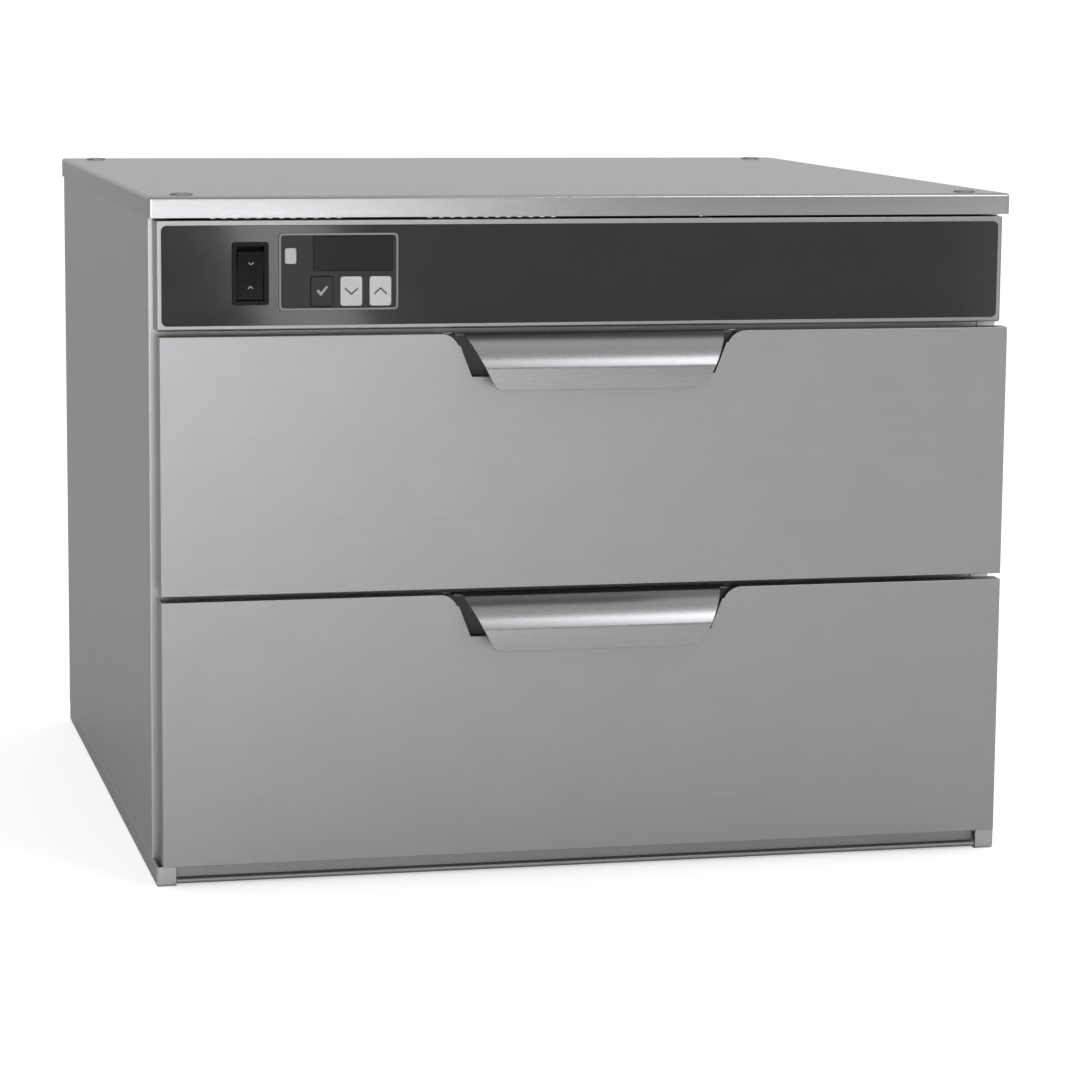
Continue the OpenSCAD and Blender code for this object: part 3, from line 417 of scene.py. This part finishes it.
def weigh_edges(shape, size):
    """Gives each sharp edge the radius that a folded or cut sheet has there."""
    weight = shape.edges.layers.float.new("bevel_weight_edge")
    for edge in shape.edges:
        if len(edge.link_faces) != 2:
            continue
        turn = edge.calc_face_angle_signed(0)
        if abs(turn) < FOLDED:
            continue
        if min(width(face, edge) for face in edge.link_faces) < size["thin"]:
            radius = size["rim"]
        else:
            radius = size["fold"] if turn > 0 else size["crease"]
        edge[weight] = min(radius, room(edge)) / size["fold"]


def softened(node, finish, second=None, where=None, marks=(), step=SAME_PLACE, **radii):
    """A CAD node's shape with its folds, creases and cut edges rounded.

    second is the finish of the faces whose middle passes the test where, and of the
    printed marks, which are given by their outlines.
    """
    sheet = bpy.context.scene.drawer_sheet
    size = {k: radii.get(k, getattr(sheet, k)) for k in ("fold", "crease", "rim", "thin")}
    shape = merged(node, step)
    weigh_edges(shape, size)
    if where:
        for face in shape.faces:
            face.material_index = int(where(face.calc_center_median()))
    for outline in marks:
        printed(shape, outline)
    mesh = bpy.data.meshes.new(node + "_piece")
    shape.to_mesh(mesh)
    shape.free()
    mesh.polygons.foreach_set("use_smooth", [True] * len(mesh.polygons))
    piece = placed(node, mesh, finish)
    if second:
        mesh.materials.append(FINISH[second])
    bevel = piece.modifiers.new("rounded edges", "BEVEL")
    bevel.limit_method = "WEIGHT"
    bevel.width = size["fold"]
    bevel.segments = EDGE_STEPS
    bevel.use_clamp_overlap = False
    bevel.miter_outer = "MITER_SHARP"
    smooth = piece.modifiers.new("even shading", "WEIGHTED_NORMAL")
    smooth.keep_sharp = True
    smooth.weight = 100


def printed(shape, outline):
    """Adds a thin raised shape with the second finish, given its front outline."""
    front = [shape.verts.new(point) for point in outline]
    back = [shape.verts.new(Vector(point) + Vector((0, INK, 0))) for point in outline]
    sides = [shape.faces.new((front[i - 1], front[i], back[i], back[i - 1]))
             for i in range(len(outline))]
    faces = [shape.faces.new(front), shape.faces.new(back[::-1])] + sides
    for face in faces:
        face.material_index = 1
    bmesh.ops.recalc_face_normals(shape, faces=faces)


def chevron(middle, size, up=True):
    """Outline of a chevron round its middle; size is (half width, height, thickness)."""
    x, y, z = middle
    half, high, thick = size
    turn = 1 if up else -1
    points = [(-half, 0), (0, high), (half, 0), (half, -thick), (0, high - thick),
              (-half, -thick)]
    return [(x + a, y, z + turn * (b - (high - thick) / 2)) for a, b in points]


def tick(middle, size):
    """Outline of a check mark round its middle; size is its half width."""
    x, y, z = middle
    points = [(-1, 0.05), (-0.62, 0.35), (-0.22, -0.15), (0.8, 1), (1, 0.75),
              (-0.2, -0.8)]
    return [(x + a * size, y, z + b * size) for a, b in points]


def rounded(points):
    """A profile's points (across, along, radius) with its corners rounded."""
    out = []
    for i, (a, b, radius) in enumerate(points):
        here = Vector((a, b))
        if not radius or i in (0, len(points) - 1):
            out.append((a, b))
            continue
        before = (Vector(points[i - 1][:2]) - here).normalized()
        after = (Vector(points[i + 1][:2]) - here).normalized()
        half = before.angle(after) / 2
        reach = radius / tan(half)
        middle = here + (before + after).normalized() * (radius / sin(half))
        start = here + before * reach - middle
        end = here + after * reach - middle
        for k in range(CORNER_STEPS + 1):
            spoke = start.slerp(end, k / CORNER_STEPS)
            out.append(tuple(middle + spoke.normalized() * radius))
    return out


def turned(name, profile, axis, sides=64, recess=()):
    """A mesh turned round an axis from (radius, place along it) points.

    recess lists the rings of a cross-shaped driver recess: (reach, arm, place).
    """
    shape = bmesh.new()
    rings = [(lambda a, r=r: r, z) for r, z in profile]
    rings += [(lambda a, r=r, w=w: min(r, w / max(min(abs(sin(a)), abs(cos(a))), TINY)), z)
              for r, w, z in recess]
    loops = []
    for radius, z in rings:
        if radius(0) == 0:
            loops.append([shape.verts.new((0, 0, z))])
            continue
        loops.append([shape.verts.new((radius(a) * cos(a), radius(a) * sin(a), z))
                      for a in (2 * pi * k / sides for k in range(sides))])
    for one, two in zip(loops, loops[1:]):
        for k in range(sides):
            corners = [one[k - 1 if len(one) > 1 else 0], one[k % len(one)],
                       two[k % len(two)], two[k - 1 if len(two) > 1 else 0]]
            shape.faces.new(list(dict.fromkeys(corners)))
    if (loops[0][0].co - loops[-1][0].co).length > TINY:
        for end in (loops[0], loops[-1]):
            if len(end) > 1:
                shape.faces.new(end)
    else:
        bmesh.ops.remove_doubles(shape, verts=loops[0] + loops[-1], dist=TINY)
    bmesh.ops.recalc_face_normals(shape, faces=shape.faces)
    if axis != "Z":
        way = Vector((1, 0, 0)) if axis == "X" else Vector((0, 1, 0))
        shape.transform(Vector((0, 0, 1)).rotation_difference(way).to_matrix().to_4x4())
    for edge in shape.edges:
        edge.smooth = len(edge.link_faces) != 2 or edge.calc_face_angle(0) < ROUND
    mesh = bpy.data.meshes.new(name)
    shape.to_mesh(mesh)
    shape.free()
    mesh.polygons.foreach_set("use_smooth", [True] * len(mesh.polygons))
    return mesh


def rows_tree():
    """Geometry Nodes tree that sets a part out in rows and columns."""
    tree = bpy.data.node_groups.new("set in rows", "GeometryNodeTree")
    tree.is_modifier = True
    face = tree.interface
    for label, kind in (
        ("Part", "NodeSocketObject"), ("First place", "NodeSocketVector"),
        ("Columns", "NodeSocketInt"), ("Column step", "NodeSocketVector"),
        ("Rows", "NodeSocketInt"), ("Row step", "NodeSocketVector"),
        ("Finish", "NodeSocketMaterial"),
    ):
        face.new_socket(label, in_out="INPUT", socket_type=kind)
    face.new_socket("Pieces", in_out="OUTPUT", socket_type="NodeSocketGeometry")
    given = add(tree, "NodeGroupInput")
    columns = add(tree, "GeometryNodeMeshLine", mode="OFFSET")
    rows = add(tree, "GeometryNodeMeshLine", mode="OFFSET")
    grid = add(tree, "GeometryNodeInstanceOnPoints")
    places = add(tree, "GeometryNodeRealizeInstances")
    part = add(tree, "GeometryNodeObjectInfo")
    copies = add(tree, "GeometryNodeInstanceOnPoints")
    whole = add(tree, "GeometryNodeRealizeInstances")
    finish = add(tree, "GeometryNodeSetMaterial")
    result = add(tree, "NodeGroupOutput")
    join(tree, given, "First place", columns, "Start Location")
    join(tree, given, "Columns", columns, "Count")
    join(tree, given, "Column step", columns, "Offset")
    join(tree, given, "Rows", rows, "Count")
    join(tree, given, "Row step", rows, "Offset")
    join(tree, columns, "Mesh", grid, "Points")
    join(tree, rows, "Mesh", grid, "Instance")
    join(tree, grid, "Instances", places, "Geometry")
    join(tree, given, "Part", part, "Object")
    join(tree, places, "Geometry", copies, "Points")
    join(tree, part, "Geometry", copies, "Instance")
    join(tree, copies, "Instances", whole, "Geometry")
    join(tree, whole, "Geometry", finish, "Geometry")
    join(tree, given, "Finish", finish, "Material")
    join(tree, finish, "Geometry", result, "Pieces")
    return tree


def in_rows(node, finish, part, first, columns, rows=(1, (0, 0, 0))):
    """Makes the like solids of a CAD node from one part, set out in rows.

    columns and rows are each a count and the step from one to the next.
    """
    tree = bpy.data.node_groups.get("set in rows") or rows_tree()
    pattern = bpy.data.objects.new("pattern", part)
    carrier = bpy.data.objects.new("carrier", bpy.data.meshes.new("carrier"))
    bpy.context.scene.collection.objects.link(pattern)
    bpy.context.scene.collection.objects.link(carrier)
    setting = carrier.modifiers.new("rows", "NODES")
    setting.node_group = tree
    values = {"Part": pattern, "First place": first, "Columns": columns[0],
              "Column step": columns[1], "Rows": rows[0], "Row step": rows[1],
              "Finish": FINISH[finish]}
    for socket in tree.interface.items_tree:
        if socket.in_out == "INPUT":
            setting[socket.identifier] = values[socket.name]
    ready = carrier.evaluated_get(bpy.context.evaluated_depsgraph_get())
    mesh = bpy.data.meshes.new_from_object(ready)
    bpy.data.objects.remove(carrier)
    bpy.data.objects.remove(pattern)
    if not mesh.polygons:
        raise RuntimeError(f"nothing was set out for {node}")
    placed(node, mesh, finish)


def finished(node, finish):
    """A CAD node whose shape is right keeps it, and gets its finish."""
    mesh = frame["nodes"][node].data
    mesh.materials.clear()
    mesh.materials.append(FINISH[finish])


# --------------------------------------------------------------- operators

SKIN_FACE = -0.3136                 # Y just behind the front skins' faces
MARK_Y = -0.30256                   # front of the keys' marks, just proud of the keys
MARK_Z = 0.418                      # height of the keys' middles
KEY_CHEVRON = (0.0045, 0.004, 0.0016)
ROCKER_CHEVRON = (0.0017, 0.0014, 0.0008)
ROCKER_MARK = 0.0085                # from the rocker's middle to a mark
ROCKER_PIVOT = Vector((-0.2423, -0.2953, 0.43065))
ROCKER_REST = radians(10)           # how far the rocker rests from its middle
ROCKER_FACE = -0.00566              # Y of its dished face's middle, from the pivot
ROCKER_SLOPE = 0.176                # how fast that face comes forward beside it


def behind_the_skin(middle):
    """Is this place in the pocket that a handle covers?"""
    return middle.y > SKIN_FACE


def on_rocker(outline):
    """Lays an outline on the rocker, which rests turned about its pivot."""
    turn = Matrix.Rotation(ROCKER_REST, 3, "X")
    return [ROCKER_PIVOT + turn @ Vector((x, ROCKER_FACE - ROCKER_SLOPE * abs(z), z))
            for x, _, z in outline]


def cross_recess(top, reach):
    """Rings of a driver's cross-shaped recess in a screw head."""
    return ((reach, 0.24 * reach, top), (0.7 * reach, 0.2 * reach, top - 0.55 * reach),
            (0, 0, top - 0.6 * reach))


def pan_screw(name, head, high, shank, long):
    """A screw along Y with a rounded head over its seat and its shank below."""
    pitch, depth, point = 0.0008, 0.0003, 0.0008
    thread = [(shank - depth * (k % 2), -k * pitch / 2)
              for k in range(2, int(2 * long / pitch))]
    outline = rounded([(0, -long, 0), (0.6 * shank, -long, 0), (shank, point - long, 0)])
    outline += thread[::-1][1:] + [(shank, 0)]
    outline += rounded([(head, 0, 0), (head, 0.35 * high, 0.3 * high),
                        (0.7 * head, high, 0.5 * high), (0.5 * head, high, 0)])
    return turned(name, outline, "Y", recess=cross_recess(high, 0.48 * head))


class WARMER_OT_casing(bpy.types.Operator):
    """Lid, sides, back, base, sill and front frame of the casing"""
    bl_idname = "warmer.casing"
    bl_label = "Casing"

    def execute(self, context):
        softened("top_panel", "lid")
        softened("left_side_panel", "sides", fold=0.0011)
        softened("right_side_panel", "sides", fold=0.0011)
        softened("back_panel", "back")
        softened("base_pan", "sides")
        softened("base_front_sill", "sill", fold=0.0004, thin=0.0016)
        softened("front_frame", "sides")
        return {"FINISHED"}


class WARMER_OT_fronts(bpy.types.Operator):
    """Outer skins, handles and inner covers of both drawer fronts"""
    bl_idname = "warmer.fronts"
    bl_label = "Drawer fronts"

    def execute(self, context):
        for drawer in ("upper", "lower"):
            softened(f"{drawer}_front_skin", "fronts", fold=0.0005, rim=0.0005,
                     crease=0.0003)
            # The faces behind the skin take the pocket's darker colour, which is painted
            # shade.
            softened(f"{drawer}_handle", "handles", "pocket", behind_the_skin,
                     step=1.5e-5, fold=0.0005, crease=0.0004)
            softened(f"{drawer}_front_liner", "inner")
            finished(f"{drawer}_front_core", "wool")
        return {"FINISHED"}


class WARMER_OT_control_strip(bpy.types.Operator):
    """Fascia, overlay, switch and controller"""
    bl_idname = "warmer.control_strip"
    bl_label = "Control strip"

    def execute(self, context):
        softened("control_fascia", "fronts", fold=0.0015)
        softened("control_overlay", "overlay", fold=0.0002, thin=0.0)
        softened("switch_housing", "switch", fold=0.0005, crease=0.0002)
        softened("switch_rocker", "switch", "mark", fold=0.0004, thin=0.0, marks=(
            on_rocker(chevron((0, 0, ROCKER_MARK), ROCKER_CHEVRON, up=False)),
            on_rocker(chevron((0, 0, -ROCKER_MARK), ROCKER_CHEVRON))))
        softened("controller_housing", "controller", fold=0.0003, crease=0.0002)
        softened("controller_bezel", "outline", fold=0.0004, thin=0.0)
        softened("display_window", "window", fold=0.0002, thin=0.0)
        softened("indicator_lens", "lens", fold=0.0004, thin=0.0)
        softened("set_key", "controller", "mark", fold=0.0004, thin=0.0, marks=(
            tick((-0.1924, MARK_Y, MARK_Z), 0.004),))
        softened("down_key", "key", "dark_mark", fold=0.0005, thin=0.0, marks=(
            chevron((-0.1718, MARK_Y, MARK_Z), KEY_CHEVRON, up=False),))
        softened("up_key", "key", "dark_mark", fold=0.0005, thin=0.0, marks=(
            chevron((-0.1512, MARK_Y, MARK_Z), KEY_CHEVRON),))
        softened("display_module", "display", fold=0.0003, crease=0.0002, thin=0.0)
        softened("control_board", "board", fold=0.0002, crease=0.0002, thin=0.0)
        return {"FINISHED"}


class WARMER_OT_inside(bpy.types.Operator):
    """Cavity, insulation, heating cables and the electrical parts on the shelf"""
    bl_idname = "warmer.inside"
    bl_label = "Inside"

    def execute(self, context):
        softened("cavity_liner", "inner", fold=0.0009, thin=0.0011)
        softened("component_shelf", "inner")
        for node in ("side", "top", "base", "back"):
            finished(f"{node}_insulation", "wool")
        finished("heating_cables", "cable")
        softened("terminal_block", "cream", fold=0.0008, crease=0.0003, thin=0.001)
        softened("power_relay", "relay", fold=0.001, crease=0.0003, thin=0.001)
        softened("high_limit_thermostat", "plastic", fold=0.0004, thin=0.0)
        softened("temperature_sensor", "screws", fold=0.0003, thin=0.0)
        softened("cord_gland", "plastic", fold=0.0008, crease=0.0003, thin=0.0)
        return {"FINISHED"}


class WARMER_OT_drawers(bpy.types.Operator):
    """Pans, rails and tracks"""
    bl_idname = "warmer.drawers"
    bl_label = "Pans and slides"

    def execute(self, context):
        for drawer in ("upper", "lower"):
            softened(f"{drawer}_pan", "pans", rim=0.0003, fold=0.002)
            softened(f"{drawer}_rail_frame", "rails")
            softened(f"{drawer}_tracks", "rails")
        return {"FINISHED"}


class WARMER_OT_rollers(bpy.types.Operator):
    """Rollers and the pins they turn on"""
    bl_idname = "warmer.rollers"
    bl_label = "Rollers"

    def execute(self, context):
        half = [(0.00305, 0, 0), (0.005, 0, 0), (0.0053, 0.0012, 0.0003),
                (0.0079, 0.0012, 0.0003), (0.0083, 0, 0), (0.01, 0, 0.0006)]
        wide, left, apart = 0.008, -0.267, 0.526
        outline = half + [(r, wide - x, soft) for r, x, soft in half[::-1]]
        closed = rounded(outline + half[:1])
        for drawer, z in (("upper", 0.33445), ("lower", 0.14995)):
            for end, y, drop in (("front", -0.2633, 0), ("rear", 0.2353, 0.001)):
                roller = turned("roller", closed, "X", sides=72)
                in_rows(f"{drawer}_{end}_rollers", "nylon", roller, (left, y, z - drop),
                        (2, (apart, 0, 0)))
            softened(f"{drawer}_rail_pins", "screws", fold=0.0004, thin=0.0)
        softened("track_roller_pins", "screws", fold=0.0004, thin=0.0)
        return {"FINISHED"}


class WARMER_OT_hardware(bpy.types.Operator):
    """Screws, plugs and leg inserts"""
    bl_idname = "warmer.hardware"
    bl_label = "Hardware"

    def execute(self, context):
        back = pan_screw("back_screw", head=0.0038, high=0.002, shank=0.00155, long=0.008)
        in_rows("back_panel_screws", "screws", back, (-0.303, 0.2985, 0.035),
                (2, (0.606, 0, 0)), (4, (0, 0, 0.138)))
        for drawer, z in (("upper", 0.3455), ("lower", 0.161)):
            front = pan_screw("front_screw", head=0.0045, high=0.0024, shank=0.0025,
                              long=0.0135)
            in_rows(f"{drawer}_front_screws", "screws", front, (-0.22, -0.2795, z),
                    (2, (0.31, 0, 0)), (2, (0.13, 0, 0)))
        plug = turned("plug", rounded([
            (0, -0.006, 0), (0.0054, -0.006, 0.0006), (0.0054, 0, 0), (0.008, 0, 0),
            (0.008, 0.0007, 0.0004), (0.0058, 0.0012, 0.0008), (0, 0.0012, 0)]), "Z")
        in_rows("top_hole_plugs", "screws", plug, (-0.2865, -0.274, 0.484),
                (2, (0.573, 0, 0)), (2, (0, 0.548, 0)))
        bore, pitch = 0.0042, 0.001
        thread = [(bore + 0.0004 * (k % 2), (k + 1) * pitch / 2) for k in range(23)]
        nut = turned("leg_nut", thread + rounded([
            (0.0048, 0.012, 0), (0.008, 0.012, 0.0006), (0.008, 0, 0.0006),
            (0.0048, 0, 0)]) + thread[:1], "Z")
        in_rows("leg_inserts", "screws", nut, (-0.27, -0.25, 0.0015),
                (2, (0.54, 0, 0)), (2, (0, 0.5, 0)))
        return {"FINISHED"}


class WARMER_OT_stage(bpy.types.Operator):
    """Camera, lamps, room light and floor"""
    bl_idname = "warmer.stage"
    bl_label = "Stage"

    def execute(self, context):
        studio = context.scene.drawer_studio
        place_camera(studio)
        room_light(studio)
        softboxes(studio)
        floor(studio)
        context.scene.view_settings.view_transform = "Standard"
        return {"FINISHED"}


# ------------------------------------------------------------------- stage

FILM_WIDTH = 36                     # millimetres
BRIGHT_WAY = (0.3, 0.7, 0.45)       # where the room is brightest
FLOOR_HALF = 14                     # half of the floor's side
# Soft lamps: name, place, what it is aimed at, width and height, tilt in degrees.
LAMPS = (
    ("key", (1.3, -2.4, 2.2), (0, -0.3, 0.3), (1.1, 1.5), 0),
    ("strip", (0.28, -3.3, 0.2), (-0.2, -0.3, 0.4), (0.15, 0.6), 20),
    ("fill", (-0.55, -3.6, 0.3), (-0.3, -0.3, 0.2), (0.9, 1.0), 0),
    ("left", (-1.5, -2.4, 0.5), (-0.3, -0.3, 0.3), (1.0, 1.2), 0),
    ("right", (2.0, -3.3, 0.35), (0.3, -0.3, 0.3), (1.2, 1.4), 0),
    ("upper", (0.34, -3.3, 0.63), (-0.2, -0.3, 0.45), (0.6, 0.6), 0),
)


def place_camera(studio):
    """Camera at the photograph's viewing angle."""
    yaw, pitch, roll = (radians(v) for v in (studio.yaw, studio.pitch, studio.roll))
    ahead = Vector((sin(yaw) * cos(pitch), cos(yaw) * cos(pitch), -sin(pitch)))
    right = Vector((cos(yaw), -sin(yaw), 0))
    up = right.cross(ahead)
    side = right * cos(roll) + up * sin(roll)
    top = up * cos(roll) - right * sin(roll)
    data = bpy.data.cameras.new("camera")
    data.sensor_fit = "HORIZONTAL"
    data.sensor_width = FILM_WIDTH
    data.lens = studio.lens
    data.clip_start, data.clip_end = 0.05, 60
    camera = bpy.data.objects.new("camera", data)
    bpy.context.scene.collection.objects.link(camera)
    turn = Matrix((side, top, -ahead)).transposed().to_4x4()
    camera.matrix_world = Matrix.Translation(studio.camera) @ turn
    bpy.context.scene.camera = camera


def room_light(studio):
    """Room light: bright behind the object and to its right, dimmer elsewhere."""
    world = bpy.data.worlds.new("room")
    world.use_nodes = True
    bpy.context.scene.world = world
    tree = world.node_tree
    background = tree.nodes["Background"]
    background.inputs["Strength"].default_value = studio.world
    ahead = add(tree, "ShaderNodeTexCoord")
    facing = add(tree, "ShaderNodeVectorMath", operation="DOT_PRODUCT")
    facing.inputs[1].default_value = Vector(BRIGHT_WAY).normalized()
    join(tree, ahead, "Generated", facing, 0)
    level = add(tree, "ShaderNodeMapRange",
                {"From Min": -0.3, "From Max": 0.9, "To Min": studio.world_dim,
                 "To Max": studio.world_bright}, interpolation_type="SMOOTHSTEP")
    ray = add(tree, "ShaderNodeLightPath")
    seen = add(tree, "ShaderNodeMix", {"B": studio.world_seen}, data_type="FLOAT")
    join(tree, facing, "Value", level, "Value")
    join(tree, ray, "Is Camera Ray", seen, "Factor")
    join(tree, level, "Result", seen, "A")
    join(tree, seen, "Result", background, "Color")


def softboxes(studio):
    """Soft lamps in front: a large one up on the right, and lower ones near the camera."""
    for name, place, target, size, tilt in LAMPS:
        data = bpy.data.lights.new(name + "_box", "AREA")
        data.shape = "RECTANGLE"
        data.size, data.size_y = size
        data.energy = getattr(studio, name) * pi * size[0] * size[1]
        lamp = bpy.data.objects.new(name + "_box", data)
        bpy.context.scene.collection.objects.link(lamp)
        lamp.location = place
        lamp.visible_camera = False
        lamp.rotation_mode = "QUATERNION"
        aim = (Vector(target) - Vector(place)).to_track_quat("-Z", "Y")
        turn = Matrix.Rotation(radians(tilt), 3, "Z").to_quaternion()
        lamp.rotation_quaternion = aim @ turn


def floor(studio):
    """Plain pale floor, wide enough for every view."""
    shape = bmesh.new()
    bmesh.ops.create_grid(shape, x_segments=8, y_segments=8, size=FLOOR_HALF)
    mesh = bpy.data.meshes.new("floor")
    shape.to_mesh(mesh)
    shape.free()
    ground = bpy.data.objects.new("floor", mesh)
    bpy.context.scene.collection.objects.link(ground)
    material, tree, shader = new_material("floor_paper", studio.floor, 0.9)
    tinted(tree, shader, grained(tree, (2, 2, 2)), studio.floor, 0.01)
    shader.inputs["Emission Color"].default_value = (1, 1, 1, 1)
    ray = add(tree, "ShaderNodeLightPath")
    glow = add(tree, "ShaderNodeMath", operation="MULTIPLY")
    join(tree, ray, "Is Camera Ray", glow, 0)
    glow.inputs[1].default_value = studio.floor_glow
    join(tree, glow, 0, shader, "Emission Strength")
    mesh.materials.append(material)


# ------------------------------------------------------------------- panel

OPERATORS = (
    WARMER_OT_casing, WARMER_OT_fronts, WARMER_OT_control_strip, WARMER_OT_inside,
    WARMER_OT_drawers, WARMER_OT_rollers, WARMER_OT_hardware, WARMER_OT_stage,
)
SETTINGS = (SheetSettings, FinishSettings, StudioSettings)


class WARMER_PT_panel(bpy.types.Panel):
    """Lists the steps that build the warming drawer"""
    bl_idname = "WARMER_PT_panel"
    bl_label = "Warming drawer"
    bl_space_type = "VIEW_3D"
    bl_region_type = "UI"
    bl_category = "Warming drawer"

    def draw(self, context):
        for step in OPERATORS:
            self.layout.operator(step.bl_idname)


def register():
    """Registers the settings, the operators and the panel."""
    for item in SETTINGS + OPERATORS + (WARMER_PT_panel,):
        bpy.utils.register_class(item)
    bpy.types.Scene.drawer_sheet = PointerProperty(type=SheetSettings)
    bpy.types.Scene.drawer_finish = PointerProperty(type=FinishSettings)
    bpy.types.Scene.drawer_studio = PointerProperty(type=StudioSettings)


def unregister():
    """Takes the settings, the operators and the panel away again."""
    del bpy.types.Scene.drawer_studio
    del bpy.types.Scene.drawer_finish
    del bpy.types.Scene.drawer_sheet
    for item in reversed(SETTINGS + OPERATORS + (WARMER_PT_panel,)):
        bpy.utils.unregister_class(item)


def main():
    """Builds the object piece by piece."""
    register()
    make_finishes(bpy.context.scene.drawer_finish)
    bpy.ops.warmer.casing()
    bpy.ops.warmer.fronts()
    bpy.ops.warmer.control_strip()
    bpy.ops.warmer.inside()
    bpy.ops.warmer.drawers()
    bpy.ops.warmer.rollers()
    bpy.ops.warmer.hardware()
    bpy.ops.warmer.stage()


if __name__ == "__main__":
    main()
